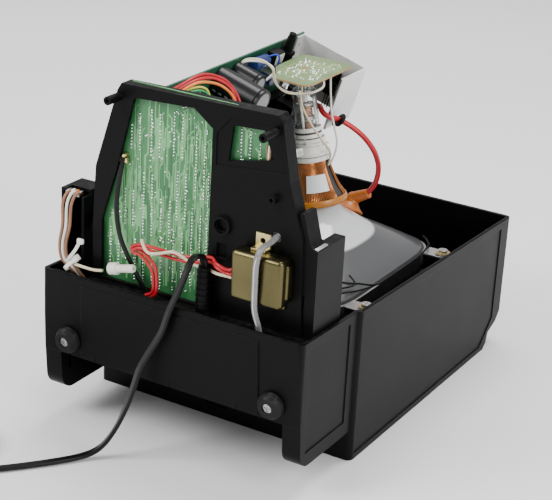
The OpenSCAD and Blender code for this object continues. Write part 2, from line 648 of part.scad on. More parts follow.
// Large capacitors: distance along the board, depth below its top edge, radius, length
caps = [[-30, 14, 12.5, 44], [-6, 12, 9, 26], [-30, 44, 11, 35], [12, 46, 9, 28]];
module filter_capacitors() color([0.07, 0.07, 0.09]) on_power() {
    for (c = caps) translate([0.3, tube_y - 44 + c[0], -c[1]]) rotate([0, 90, 0]) {
        cylinder(r = c[2], h = c[3] - 3);
        translate([0, 0, c[3] - 3.5]) cylinder(r1 = c[2], r2 = c[2] - 1, h = 2.5);
    }
}

small_caps = [[-70, 20, 4, 12], [-70, 34, 5, 14], [-58, 62, 6.5, 20], [-90, 26, 3, 11], [-95, 50, 5, 16],
    [-80, 80, 4, 12], [-20, 78, 4, 12], [0, 80, 5, 14], [42, 28, 4, 12], [30, 70, 5, 15]];
module small_capacitors() color([0.10, 0.12, 0.30]) on_power() {
    for (c = small_caps) translate([0.3, c[0], -c[1]]) rotate([0, 90, 0]) cylinder(r = c[2], h = c[3],
        $fn = 24);
}

module line_transformer() color([0.08, 0.08, 0.08]) on_power() {
    slab(0.3, 56, -84, 9, 92, -52);
    translate([0.3 + 20, 74, -68]) rotate([90, 0, 0]) translate([0, 0, -14]) cylinder(r = 14, h = 28);
    slab(12, 62, -60, 30, 86, -50.3);
    translate([16, 78, -54]) cylinder(r = 4, h = 14);
}

module sound_chip() color([0.09, 0.09, 0.10]) on_power() {
    slab(0.3, 42, -15, 9, 56, -4);
    for (i = [0:5]) slab(1, 43 + i * 2.2, -18, 1.6, 43.8 + i * 2.2, -14.9);
}

pot_y = 66;
module brightness_pot() color([0.08, 0.08, 0.08]) on_power() difference() {
    union() {
        slab(0.3, pot_y - 7, -22, 5, pot_y + 9, -8);
        slab(0.3, pot_y - 5, -10, 11, pot_y + 5, -6.5);
        translate([6, pot_y, -14]) cylinder(r = 5.6, h = 6);
    }
    translate([6, pot_y, -12]) cylinder(r = 2.05, h = 10);
}

module brightness_knob() color([0.05, 0.05, 0.05]) on_power() {
    translate([6, pot_y, -11]) cylinder(r = 2, h = 6);
    translate([6, pot_y, -6.2]) difference() {
        cylinder(r = 3.6, h = 16);
        slab(-5, -0.5, 14.5, 5, 0.5, 18);
        translate([0, 0, 12]) difference() {
            cylinder(r = 5, h = 5);
            translate([0, 0, -1]) cylinder(r = 3.1, h = 8);
        }
    }
}

// Leads from the frame's top to the power board: a red pair and one of each other colour
module power_leads() color([0.70, 0.08, 0.08]) {
    for (d = [0, 1]) wire([[-44 - d * 5, logic_y + pcb_t + 1.3, 256], [-44 - d * 5, -148, 262],
        [-42 - d * 4, -132, 278], [-33 - d * 3, -112, 287],
        [-22 - d * 3, -96, 291 - d * 3], [-8 - d * 2, -86, 288 - d * 3], [4, -74, 277 - d * 3],
            [9, -62, 262 - d * 3],
        [4, -52, 246 - d * 3], [-14, -48, 236 - d * 3], [-38, -50, 230 - d * 3],
            [-56 - 5 * d, -52, 226 - d * 7]], 1.1, 2);
}

// Loop of thin leads from the power board to the neck board
module loop_leads() color([0.78, 0.76, 0.66]) {
    for (d = [0, 1]) wire([[-53.4, 7 + 2.5 * d, 269], [-50, 0, 272 - d], [-44, -9, 276 - 2.2 * d],
        [-33, -15, 276 - 2.2 * d],
        [-23, -13, 272 - 2.2 * d], [-19, -6, 266 - 2 * d], [-19, 0, 258 - d], [-22, 7, 252.5],
        [-28, 15 + 3 * d, 252], [-31, 21 + 3 * d, 255], [-31, 22 + 3 * d, board_z - 0.3]], 0.8, 2);
}

// Leads between neck board and yoke
module neck_leads() color([0.80, 0.76, 0.62]) {
    wire([[-8, 20, board_z - 0.3], [-8, 20, 250], [-9, 22, 238], [-2, 26, 222], [6, 32, 208],
        [11, 38, 198],
        [11, 41.5, 191], [8.6, 43, 182]], 0.9, 2);
    wire([[2, 50, board_z - 0.3], [2, 50, 252], [3, 50, 240], [5, 50, 225], [9, 50, 212], [12, 49.6, 202],
        [11.5, 48.5, 192], [8.4, 47, 182]], 0.9, 2);
}

// ---------------------------------------------------------------- transformer and leads
module mains_transformer() color([0.45, 0.38, 0.16]) {
    x0 = trafo_x;
    x1 = trafo_x + trafo_w;
    z1 = trafo_z + trafo_h;
    r = 5;
    translate([0, plate_y - 1, 0]) difference() {
        facing(-16, 0) round_rect(x0, trafo_z, x1, z1, r);
        translate([0, -16, 0]) for (e = [[0, 1], [0, -1]]) translate([x0 - 1, 0, e[1] > 0 ? z1 : trafo_z])
            rotate([45, 0, 0]) translate([0, -1.4, -1.4]) cube([trafo_w + 2, 2.8, 2.8]);
    }
    // folded feet of the can
    facing(plate_y - 2.6, plate_y - 0.3) polygon([[x0 + 4, trafo_z - 6], [x1 - 4, trafo_z - 6],
        [x1 - 2, trafo_z + 4],
        [x0 + 2, trafo_z + 4]]);
}

module transformer_strap() color([0.62, 0.56, 0.30]) difference() {
    union() {
        facing(plate_y - 2.2, plate_y - 0.3) polygon([[trafo_x + 12, trafo_z + trafo_h + 0.3],
            [trafo_x + 24, trafo_z + trafo_h + 0.3], [trafo_x + 24, trafo_z + trafo_h + 12],
            [trafo_x + 12, trafo_z + trafo_h + 12]]);
        slab(trafo_x + 12, plate_y - 9, trafo_z + trafo_h + 0.3, trafo_x + 24, plate_y - 2,
            trafo_z + trafo_h + 1.8);
    }
    translate([trafo_x + 18, plate_y - 5, trafo_z + trafo_h + 6.5]) rotate([-90, 0,
        0]) cylinder(r = 2.2, h = 8);
}

module secondary_leads() color([0.72, 0.08, 0.08]) {
    for (d = [0, 1]) wire([[trafo_x - 1.3, plate_y - 6 - 3 * d, 172 - 4 * d],
        [42, plate_y - 6 - d, 176 - 3 * d],
        [28, plate_y - 1.8, 177 - 4 * d], [8, plate_y - 1.8, 174 - 4 * d],
            [-12, plate_y - 5, 175 - 3 * d],
        [-30, plate_y - 8, 178 - 3 * d], [-44, plate_y - 8, 177 - 3 * d], [-46, plate_y - 9, 170 - 2 * d],
        [-36, plate_y - 9, 163 - 2 * d], [-28 + d, plate_y - 8.5, 154 - 2 * d],
            [-27 + d, plate_y - 8, 142],
        [-30 - 3 * d, plate_y - 7.5, 132], [-31 - 3 * d, plate_y - 7, shelf_z + 1.5]], 1.2, 2);
}

module mains_lead_inner() color([0.42, 0.42, 0.42]) {
    hose(smooth([[hole_x, plate_y + 8, hole_z - 1], [hole_x, plate_y + 2, hole_z],
        [hole_x - 0.5, plate_y - 6, hole_z - 2],
        [hole_x - 2, plate_y - 16.8, hole_z - 4.4], [hole_x - 3, plate_y - 20.9, 186],
            [hole_x - 3.5, plate_y - 20.6, 168],
        [hole_x - 4, plate_y - 18.9, 149], [hole_x - 4, plate_y - 12.5, 134],
            [hole_x - 4, plate_y - 9.5, 124],
        [hole_x - 4, plate_y - 9, 112], [hole_x + 6, plate_y - 4, 96], [hole_x + 18, plate_y + 4, 82],
            [hole_x + 10, plate_y + 12, recess_h + wall + 2.3]], 2),
        2.6, 1.8, 8, [1, 0, 0]);
}

// Bend guard of the mains cord: ribbed, with a flare where it is seated in the shelf
module strain_relief() color([0.06, 0.06, 0.06]) translate([relief_x, relief_y, shelf_z]) {
    difference() {
        union() {
            translate([0, 0, 0.2]) cylinder(r1 = 6.9, r2 = 6.3, h = 3);
            translate([0, 0, -5]) cylinder(r = 5, h = 6);
            cylinder(r1 = 5.4, r2 = 4.6, h = 39);
            for (i = [0:6]) translate([0, 0, 5 + i * 4.8]) cylinder(r = 6 - i * 0.12, h = 2.6);
        }
        intersection() {
            translate([0, 0, 34]) cylinder(r = 3.6, h = 10);
            slab(-3.6, -2.3, 30, 3.6, 2.3, 50);
        }
    }
}

// ---------------------------------------------------------------- switch box and controls
module switch_box() color([0.07, 0.07, 0.07]) {
    difference() {
        slab(box_x0, box_y0, shelf_z + 0.3, box_x1, box_y1, box_top);
        slab(box_x0 + 2, box_y0 - 1, rim_h + 2, box_x1 - 2, box_y1 - 2, box_top - 2);
        slab(box_x0 + 4, box_y0 - 1, box_top - 4, box_x1 + 1, box_y0 + 9, box_top + 1);
    }
}

module volume_pot() color([0.35, 0.36, 0.36]) difference() {
    union() {
        slab(box_x0 + 0.2, knob_y - 8, knob_z1 + 1.6, -100.4, knob_y + 8, shelf_z + 0.1);
        slab(knob_x - 3, knob_y + 7.9, shelf_z - 3.6, knob_x + 3, knob_y + 12, shelf_z - 2.8);
    }
    translate([knob_x, knob_y, knob_z1]) cylinder(r = 3.05, h = 7);
}

module volume_knob() color([0.12, 0.12, 0.12]) translate([knob_x, knob_y, knob_z0]) {
    difference() {
        cylinder(r = knob_r, h = knob_z1 - knob_z0);
        translate([0, 0, -1]) cylinder(r = knob_r - 3, h = 3);
        for (i = [0:23]) rotate([0, 0, i * 15]) translate([knob_r + 0.35, 0, -1]) cylinder(r = 0.8,
            h = 12, $fn = 16);
        slab(-0.5, 4.5, knob_z1 - knob_z0 - 0.8, 0.5, knob_r + 1, knob_z1 - knob_z0 + 1);
    }
    cylinder(r = 3, h = knob_z1 - knob_z0 + 6);
    translate([0, 0, knob_z1 - knob_z0 - eps]) cylinder(r = 4.5, h = 1);
}

// Brown and white leads from the switch to the tie and on to the splice
module switch_leads() color([0.55, 0.36, 0.26]) {
    for (d = [0, 1, 2]) wire([[-107 + 4 * d, box_y0 + 6, tie_z + 51],
        [-107 + 4 * d, box_y0 - 1, tie_z + 53], [-108 + 4 * d, box_y0 - 6, tie_z + 45],
        [-106 + 3.4 * d, box_y0 - 9, tie_z + 29], [-108 + 3 * d, box_y0 - 10, tie_z + 13],
            [-106 + 3 * d, box_y0 - 10.5, tie_z + 2],
        [-100 + 3 * d, box_y0 - 10.5, tie_z - 3 + d], [-94 + 2.6 * d, box_y0 - 8, tie_z - 9],
            [-92 + 2.6 * d, box_y0 - 2, shelf_z - 5]], 1.25, 2);
    wire([[-93, box_y0 - 10.8, tie_z - 0.6], [-76, box_y0 - 11.5, tie_z - 0.5],
        [-66, box_y0 - 11, tie_z + 1]], 1.2, 3);
}

module splice_connector() color([0.86, 0.84, 0.76]) translate([-66, box_y0 - 11, tie_z + 1]) rotate([0,
    84, 0]) {
    translate([0, 0, 0.3]) cylinder(r = 4.6, h = 8);
    translate([0, 0, 8]) cylinder(r1 = 4.4, r2 = 2.8, h = 2);
    translate([0, 0, 9.5]) cylinder(r = 2.9, h = 12);
}

module cable_tie() color([0.90, 0.88, 0.84]) translate([-97, box_y0 - 10.5, tie_z - 2])
    rotate([0, 130, 0]) {
        difference() {
            translate([0, 0, -1.6]) cylinder(r = 6, h = 3.2);
            translate([0, 0, -3]) cylinder(r = 5, h = 6);
        }
        slab(-10.6, -2.6, -2.6, -5.5, 2.6, 2.6);
    }

// Flat dark strap laid down the logic board's soldered side
module board_strap() color([0.12, 0.12, 0.12]) {
    hose(smooth([[-52, logic_y - 1.6, 232], [-54, plate_y - 2.6, 214], [-55, plate_y - 3.2, 196],
        [-50, plate_y - 3, 176],
        [-40, plate_y - 2.6, 156], [-30, plate_y - 2.4, 140],
            [-24, plate_y - 2.4, shelf_z + 1.2]], 2), 2.4, 0.7, 8, [1, 0, 0]);
}

module reset_button() color([0.62, 0.10, 0.08]) translate([-base_x + wall, button_y,
    button_z]) rotate([0, -90, 0]) {
    translate([0, 0, -2]) cylinder(r = 6, h = wall + button_travel + 1.8);
    translate([0, 0, -3.5]) cylinder(r = 8, h = 3.2);
    translate([0, 0, -12]) cylinder(r = 2, h = 9);
}

module button_spring() color([0.72, 0.72, 0.72]) translate([spring_x + button_travel, button_y,
    button_z]) rotate([0, 90, 0])
    difference() {
        cylinder(r = 4.2, h = spring_h - button_travel);
        translate([0, 0, -1]) cylinder(r = 3.2, h = 14);
    }

module speaker() color([0.20, 0.20, 0.20]) translate([-shell_x + wall + 0.4, speaker_y, 52]) rotate([0,
    90, 0]) {
    difference() {
        cylinder(r = 28, h = 2);
        translate([0, 0, -1]) cylinder(r = 24, h = 4);
        for (a = [45:90:315]) rotate([0, 0, a]) translate([26, 0, -1]) cylinder(r = 1.4, h = 5);
    }
    difference() {
        translate([0, 0, 1]) cylinder(r1 = 24.5, r2 = 11, h = 11);
        translate([0, 0, 0.5]) cylinder(r1 = 23.5, r2 = 9.5, h = 10.6);
    }
    translate([0, 0, 11.5]) cylinder(r = 14, h = 8);
}

module speaker_screws() color([0.7, 0.7, 0.7]) translate([-shell_x + wall + 0.4, speaker_y,
    52]) rotate([0, 90, 0])
    for (a = [45:90:315]) rotate([0, 0, a]) translate([26, 0, 2.1]) pan_screw(1.2, 2.2, 2.4, 1.6);

module hand_control_socket() color([0.10, 0.10, 0.10]) translate([38, step_y - 1, 29]) difference() {
    union() {
        slab(-14.7, 0.3, -6.7, 14.7, 12, 6.7);
        slab(-18, wall + 0.2, -9, 18, wall + 2.2, 9);
    }
    facing(-1, 4) polygon([[-9, 4], [9, 4], [7.5, -4], [-7.5, -4]]);
}

// ---------------------------------------------------------------- feet
module rubber_feet() color([0.16, 0.16, 0.16]) {
    for (s = [-1, 1]) translate([s * foot_x, base_wall_y(foot_z) - 0.3, foot_z]) rotate([90 + lean_deg,
        0, 0]) difference() {
        union() {
            cylinder(r = foot_d / 2, h = foot_h * 0.45);
            translate([0, 0, foot_h * 0.45 - eps]) cylinder(r1 = foot_d / 2, r2 = foot_d / 2 - 3,
                h = foot_h * 0.55);
        }
        translate([0, 0, foot_h - 4]) cylinder(r = 4.2, h = 10);
        translate([0, 0, -1]) cylinder(r = 2.2, h = 20);
    }
}

module foot_screws() color([0.25, 0.25, 0.25]) {
    for (s = [-1, 1]) translate([s * foot_x, base_wall_y(foot_z) - 0.3, foot_z]) rotate([90 + lean_deg,
        0, 0])
        translate([0, 0, foot_h - 3.8]) pan_screw(2, 12, 3.8, 2.4);
}

// ---------------------------------------------------------------- mains cord
cord_route = [[relief_x, relief_y, shelf_z + 38], [relief_x, relief_y - 0.6, 171], [22.6, -174, 176.4],
    [21.4, -179.5, 173.6], [18, -182.6, 163], [12.4, -183.6, 149], [7, -184.2, 136], [3.4, -185.6, 125],
    [-1, -187, 110], [-11.6, -188.2, 90], [-17.4, -190, 77], [-20.6, -193, 62], [-24.4, -196.6, 46],
    [-30, -200.4, 29], [-37, -205, 14.6], [-44, -210.4, 5.5], [-52, -220, 2.3], [-64, -236, 2.3],
    [-80, -256, 2.3],
    [-97, -275, 2.3], [-114, -291, 2.3], [-132, -303, 2.3]];
plug_x = -212;
coil_x = -152;
coil_y = -268;
coil_r = 34;
coil_in = 10;
coil_out = 3;
tail_y = -coil_r - coil_out;

module mains_cord() color([0.08, 0.08, 0.08]) hose(smooth(cord_route, 3), cord_w / 2, cord_t / 2, 10,
    [1, 0, 0]);

module mains_cord_coil() color([0.08, 0.08, 0.08]) translate([coil_x, coil_y, 0]) {
    rotate_extrude() translate([coil_r - coil_in, 0.1]) square([coil_in + coil_out, 15.6]);
    hose(smooth([[-6, tail_y + 3, 13], [-16, tail_y + 0.8, 10.6], [-34, tail_y, 7.4],
        [plug_x + 12.8 - coil_x, tail_y, 7]], 3), cord_w / 2, cord_t / 2, 10, [0, 1, 0]);
}

module coil_tie() color([0.06, 0.06, 0.06]) translate([coil_x, coil_y, 0]) difference() {
    slab(-coil_r - coil_out - 1.4, -3, 0, -coil_r + coil_in + 1.4, 3, 17.1);
    slab(-coil_r - coil_out - 0.3, -4, -1, -coil_r + coil_in + 0.3, 4, 16);
}

module mains_plug() color([0.07, 0.07, 0.07]) translate([plug_x, coil_y + tail_y, 0]) {
    slab(-12, -10, 0.1, 12, 10, 14);
}

module plug_pins() color([0.78, 0.68, 0.42]) translate([plug_x, coil_y + tail_y, 0]) {
    for (y = [-6.35, 6.35]) slab(-12 - 16, y - 0.8, 4, -12.1, y + 0.8, 10.4);
}

front_shell();
screen_hood();
picture_tube();
tube_band();
tube_screws();
deflection_yoke();
yoke_clamp();
clamp_screw();
centring_ring_front();
centring_ring_rear();
neck_socket();
neck_board();
anode_cup();
anode_lead();
lead_clip();
earth_wire();
chassis_frame();
frame_screws();
logic_board();
logic_chips();
board_screws();
power_board();
heat_sink();
power_transistors();
filter_capacitors();
small_capacitors();
line_transformer();
sound_chip();
brightness_pot();
brightness_knob();
power_leads();
loop_leads();
neck_leads();
mains_transformer();
transformer_strap();
secondary_leads();
mains_lead_inner();
strain_relief();
switch_box();
volume_pot();
volume_knob();
switch_leads();
splice_connector();
cable_tie();
board_strap();
reset_button();
button_spring();
speaker();
speaker_screws();
hand_control_socket();
rubber_feet();
foot_screws();
mains_cord();
mains_cord_coil();
coil_tie();
mains_plug();
plug_pins();
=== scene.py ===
# %% [markdown]
# # An opened display set on its face
# The CAD model gives every solid its place and size. This lesson adds what a camera sees: the finish of each
# material, solder, copper and printed detail, soft leads, wound wire and a real flat cord.
# Lengths inside the lists below are in millimetres, because the set was measured that way. The helpers turn
# them into metres, which is what the scene uses.

# %% Start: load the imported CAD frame
import json
import math
import random
import bmesh
import bpy
from mathutils import Matrix, Vector

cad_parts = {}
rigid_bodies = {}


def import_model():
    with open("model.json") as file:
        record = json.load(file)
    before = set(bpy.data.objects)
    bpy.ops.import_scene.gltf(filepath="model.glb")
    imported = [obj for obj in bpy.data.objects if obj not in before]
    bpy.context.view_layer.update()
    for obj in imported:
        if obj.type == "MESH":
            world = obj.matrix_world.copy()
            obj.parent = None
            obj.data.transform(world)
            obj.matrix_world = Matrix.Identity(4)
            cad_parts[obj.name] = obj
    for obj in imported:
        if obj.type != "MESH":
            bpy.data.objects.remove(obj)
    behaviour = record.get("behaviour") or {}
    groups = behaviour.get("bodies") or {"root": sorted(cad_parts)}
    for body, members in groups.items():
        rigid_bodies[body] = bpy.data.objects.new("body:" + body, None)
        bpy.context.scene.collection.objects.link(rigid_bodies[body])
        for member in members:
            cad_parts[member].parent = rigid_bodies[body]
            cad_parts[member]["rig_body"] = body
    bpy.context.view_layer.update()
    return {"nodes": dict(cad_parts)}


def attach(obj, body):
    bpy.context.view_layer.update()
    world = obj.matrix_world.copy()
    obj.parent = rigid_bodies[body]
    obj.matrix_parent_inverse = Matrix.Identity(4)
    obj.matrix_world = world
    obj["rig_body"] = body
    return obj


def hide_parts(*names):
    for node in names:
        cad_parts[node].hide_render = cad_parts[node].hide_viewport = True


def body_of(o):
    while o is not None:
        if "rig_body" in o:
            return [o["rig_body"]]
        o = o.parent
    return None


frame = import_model()
NODES = frame["nodes"]
MM = 0.001

# %% [markdown]
# ## 1. The camera
# A camera is placed with a matrix whose columns are its right, up and backward directions, then its position.
# A small shift slides the picture on the sensor without turning the camera.

# %% Camera
RIGHT = (0.860779, 0.506132, 0.053754)
UP = (-0.239204, 0.309055, 0.920471)
BACK = (0.449267, -0.805181, 0.387097)
EYE = (0.631487, -1.124218, 0.649535)

camera_data = bpy.data.cameras.new("camera")
camera_data.sensor_width = 36.0
camera_data.lens = 108.72
camera_data.shift_x = -0.0309
camera_data.shift_y = 0.0173
camera_data.clip_start = 0.05
camera = bpy.data.objects.new("camera", camera_data)
camera.matrix_world = Matrix([[RIGHT[i], UP[i], BACK[i], EYE[i]] for i in range(3)] + [[0, 0, 0, 1]])
bpy.context.scene.collection.objects.link(camera)
bpy.context.scene.camera = camera

# %% [markdown]
# ## 2. Helpers that build meshes
# Everything here is made from numbers: a tube is a section swept along a smooth curve, a turned part is a
# profile spun about an axis, and a box gets rounded edges from the bevel operator. Each helper returns an
# object that rides on the case, so it stays in place when a joint moves.

# %% Mesh helpers
POWER = Matrix([[0.958820, 0, 0.284015, -53.6], [0, 1, 0, 0], [-0.284015, 0, 0.958820, 273.5], [0, 0, 0, 1]])
NECK = Matrix([[0.979925, 0, -0.199368, 0], [0, 1, 0, 44], [0.199368, 0, 0.979925, 143], [0, 0, 0, 1]])
WORLD = Matrix.Identity(4)


def at(x=0, y=0, z=0):
    return Matrix.Translation((x, y, z))


def turn(axis, degrees):
    return Matrix.Rotation(math.radians(degrees), 4, axis)


def piece(name, verts, faces, material, place=WORLD, body="case", smooth=True, sharp=40):
    """A mesh object from points in millimetres, put in place, closed and with outward normals."""
    mesh = bpy.data.meshes.new(name)
    mesh.from_pydata([tuple((place @ Vector(v)) * MM) for v in verts], [], faces)
    bm = bmesh.new()
    bm.from_mesh(mesh)
    bmesh.ops.remove_doubles(bm, verts=bm.verts, dist=1e-7)
    bmesh.ops.recalc_face_normals(bm, faces=bm.faces)
    for e in bm.edges:
        e.smooth = len(e.link_faces) == 2 and e.calc_face_angle(0.0) < math.radians(sharp)
    for f in bm.faces:
        f.smooth = smooth
    bm.to_mesh(mesh)
    bm.free()
    mesh.materials.append(material)
    obj = bpy.data.objects.new(name, mesh)
    bpy.context.scene.collection.objects.link(obj)
    if body:
        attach(obj, body)
    return obj


def smooth_line(route, steps):
    """Points of a smooth curve that passes through every point of the route."""
    p = [Vector(q) for q in route]
    out = []
    for i in range(len(p) - 1):
        a, b, c, d = p[max(i - 1, 0)], p[i], p[i + 1], p[min(i + 2, len(p) - 1)]
        for s in range(steps):
            t = s / steps
            out.append(0.5 * (2 * b + (c - a) * t + (2 * a - 5 * b + 4 * c - d) * t * t
                              + (3 * b - a - 3 * c + d) * t ** 3))
    return out + [p[-1]]


def circle(r, k=12):
    return [(r * math.cos(2 * math.pi * j / k), r * math.sin(2 * math.pi * j / k)) for j in range(k)]


def sweep(line, section, side, flatten=None):
    """Points and faces of a section swept along a line; side is where the section's first axis points."""
    n, k = len(line), len(section)
    verts, faces = [], []
    side = Vector(side)
    for i, p in enumerate(line):
        t = (line[min(i + 1, n - 1)] - line[max(i - 1, 0)]).normalized()
        if flatten:
            side = side.lerp(t.cross(Vector((0, 0, 1))) * (1 if t.cross(Vector((0, 0,
                                                                                1))).dot(side) > 0 else -1),
                             flatten(i, p))
        side = (side - t * side.dot(t)).normalized()
        other = t.cross(side)
        verts += [tuple(p + side * a + other * b) for a, b in section]
    for i in range(n - 1):
        for j in range(k):
            a, b = i * k + j, i * k + (j + 1) % k
            faces.append((a, b, b + k, a + k))
    faces.append(tuple(range(k))[::-1])
    faces.append(tuple(range((n - 1) * k, n * k)))
    return verts, faces


def wire(name, route, r, material, steps=5, side=(0, 1, 0.2), k=12, place=WORLD, body="case"):
    verts, faces = sweep(smooth_line(route, steps), circle(r, k), side)
    return piece(name, verts, faces, material, place, body)


def lathe(name, profile, material, place=WORLD, k=48, body="case", closed=True, sharp=40):
    """A profile of (radius, height) pairs spun about Z. Open ends on the axis close by themselves."""
    verts, faces = [], []
    n = len(profile)
    for r, z in profile:
        verts += [(r * math.cos(2 * math.pi * j / k), r * math.sin(2 * math.pi * j / k), z) for j in range(k)]
    for i in range(n if closed else n - 1):
        for j in range(k):
            a, b = i * k + j, i * k + (j + 1) % k
            c, d = ((i + 1) % n) * k + (j + 1) % k, ((i + 1) % n) * k + j
            faces.append((a, b, c, d))
    return piece(name, verts, faces, material, place, body, sharp=sharp)


def round_box(name, lo, hi, material, r=0.6, place=WORLD, body="case", segments=2):
    """A box with rounded edges."""
    bm = bmesh.new()
    bmesh.ops.create_cube(bm, size=1)
    size = [b - a for a, b in zip(lo, hi)]
    for v in bm.verts:
        v.co = Vector([(v.co[i] + 0.5) * size[i] + lo[i] for i in range(3)])
    if r > 0:
        bmesh.ops.bevel(bm, geom=bm.edges[:], offset=min(r, min(size) * 0.45), segments=segments,
                        affect="EDGES",
                        profile=0.5)
    verts = [tuple(v.co) for v in bm.verts]
    faces = [tuple(v.index for v in f.verts) for f in bm.faces]
    bm.free()
    return piece(name, verts, faces, material, place, body, sharp=35)


def slab_shape(name, outline, depth, material, place, r=0.0, body="case"):
    """A flat shape: outline points pushed along the place's local Z by depth, edges rounded by r."""
    bm = bmesh.new()
    n = len(outline)
    low = [bm.verts.new((x, y, 0)) for x, y in outline]
    high = [bm.verts.new((x, y, depth)) for x, y in outline]
    bm.faces.new(low[::-1])
    bm.faces.new(high)
    for i in range(n):
        bm.faces.new((low[i], low[(i + 1) % n], high[(i + 1) % n], high[i]))
    if r > 0:
        bmesh.ops.bevel(bm, geom=bm.edges[:], offset=r, segments=2, affect="EDGES", profile=0.5)
    bm.verts.index_update()
    verts = [tuple(v.co) for v in bm.verts]
    faces = [tuple(v.index for v in f.verts) for f in bm.faces]
    bm.free()
    return piece(name, verts, faces, material, place, body, sharp=35)


def together(name, parts):
    """Several meshes made one object, so that the list of pieces stays short."""
    bm = bmesh.new()
    materials = []
    for o in parts:
        start = len(bm.faces)
        bm.from_mesh(o.data)
        bm.faces.ensure_lookup_table()
        slots = []
        for m in o.data.materials:
            if m not in materials:
                materials.append(m)
            slots.append(materials.index(m))
        for f in bm.faces[start:]:
            f.material_index = slots[min(f.material_index, len(slots) - 1)]
    mesh = bpy.data.meshes.new(name)
    bm.to_mesh(mesh)
    bm.free()
    for m in materials:
        mesh.materials.append(m)
    body = body_of(parts[0])[0]
    for o in parts:
        bpy.data.objects.remove(o)
    obj = bpy.data.objects.new(name, mesh)
    bpy.context.scene.collection.objects.link(obj)
    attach(obj, body)
    return obj


# %% [markdown]
# ## 3. Materials
# A finish is a base colour, how rough it is, and how it varies. Noise in object coordinates keeps the
# variation fixed to the part. The bevel node softens the light along sharp edges, as a real moulded or folded
# edge does.

# %% Material helpers
def new_material(name, color, rough, metal=0.0, specular=0.5):
    m = bpy.data.materials.new(name)
    m.use_nodes = True
    shader = m.node_tree.nodes["Principled BSDF"]
    shader.inputs["Base Color"].default_value = (*color, 1)
    shader.inputs["Roughness"].default_value = rough
    shader.inputs["Metallic"].default_value = metal
    shader.inputs["Specular IOR Level"].default_value = specular
    return m


def finish(name, color, rough, metal=0.0, specular=0.5, vary=0.15, scale=60.0, bump=0.0, grain=900.0,
           stretch=(1, 1, 1), bevel=0.0, dust=0.0, dust_color=(0.4, 0.38, 0.35), rough_vary=0.0):
    """A finish with mottled colour, fine grain, light dust on upward faces and softened edges."""
    m = new_material(name, color, rough, metal, specular)
    tree = m.node_tree
    add, link = tree.nodes.new, tree.links.new
    shader = tree.nodes["Principled BSDF"]
    where = add("ShaderNodeTexCoord")
    mapping = add("ShaderNodeMapping")
    mapping.inputs["Scale"].default_value = stretch
    link(where.outputs["Object"], mapping.inputs["Vector"])
    cloud = add("ShaderNodeTexNoise")
    cloud.inputs["Scale"].default_value = scale
    cloud.inputs["Detail"].default_value = 5
    link(mapping.outputs["Vector"], cloud.inputs["Vector"])
    ramp = add("ShaderNodeValToRGB")
    ramp.color_ramp.elements[0].position = 0.3
    ramp.color_ramp.elements[1].position = 0.72
    ramp.color_ramp.elements[0].color = (*[c * (1 - vary) for c in color], 1)
    ramp.color_ramp.elements[1].color = (*[min(1, c * (1 + vary)) for c in color], 1)
    link(cloud.outputs["Fac"], ramp.inputs["Fac"])
    out = ramp.outputs["Color"]
    if dust > 0:
        shape = add("ShaderNodeNewGeometry")
        split = add("ShaderNodeSeparateXYZ")
        link(shape.outputs["Normal"], split.inputs["Vector"])
        specks = add("ShaderNodeTexNoise")
        specks.inputs["Scale"].default_value = 220
        specks.inputs["Detail"].default_value = 8
        link(where.outputs["Object"], specks.inputs["Vector"])
        patch = add("ShaderNodeMapRange")
        patch.inputs["From Min"].default_value = 0.45
        patch.inputs["From Max"].default_value = 0.75
        link(specks.outputs["Fac"], patch.inputs["Value"])
        up = add("ShaderNodeMath")
        up.operation = "MULTIPLY"
        up.use_clamp = True
        link(split.outputs["Z"], up.inputs[0])
        link(patch.outputs["Result"], up.inputs[1])
        some = add("ShaderNodeMath")
        some.operation = "MULTIPLY"
        some.inputs[1].default_value = dust
        link(up.outputs[0], some.inputs[0])
        mix = add("ShaderNodeMix")
        mix.data_type = "RGBA"
        mix.inputs[7].default_value = (*dust_color, 1)
        link(some.outputs[0], mix.inputs[0])
        link(out, mix.inputs[6])
        out = mix.outputs[2]
    link(out, shader.inputs["Base Color"])
    if rough_vary > 0:
        wear = add("ShaderNodeMapRange")
        wear.inputs["To Min"].default_value = rough - rough_vary
        wear.inputs["To Max"].default_value = rough + rough_vary
        link(cloud.outputs["Fac"], wear.inputs["Value"])
        link(wear.outputs["Result"], shader.inputs["Roughness"])
    normal = None
    if bevel > 0:
        soft = add("ShaderNodeBevel")
        soft.samples = 6
        soft.inputs["Radius"].default_value = bevel * MM
        normal = soft.outputs["Normal"]
        link(normal, shader.inputs["Normal"])
    if bump > 0:
        fine = add("ShaderNodeTexNoise")
        fine.inputs["Scale"].default_value = grain
        fine.inputs["Detail"].default_value = 3
        link(mapping.outputs["Vector"], fine.inputs["Vector"])
        raise_ = add("ShaderNodeBump")
        raise_.inputs["Strength"].default_value = bump
        raise_.inputs["Distance"].default_value = 0.0003
        link(fine.outputs["Fac"], raise_.inputs["Height"])
        if normal:
            link(normal, raise_.inputs["Normal"])
        link(raise_.outputs["Normal"], shader.inputs["Normal"])
    return m


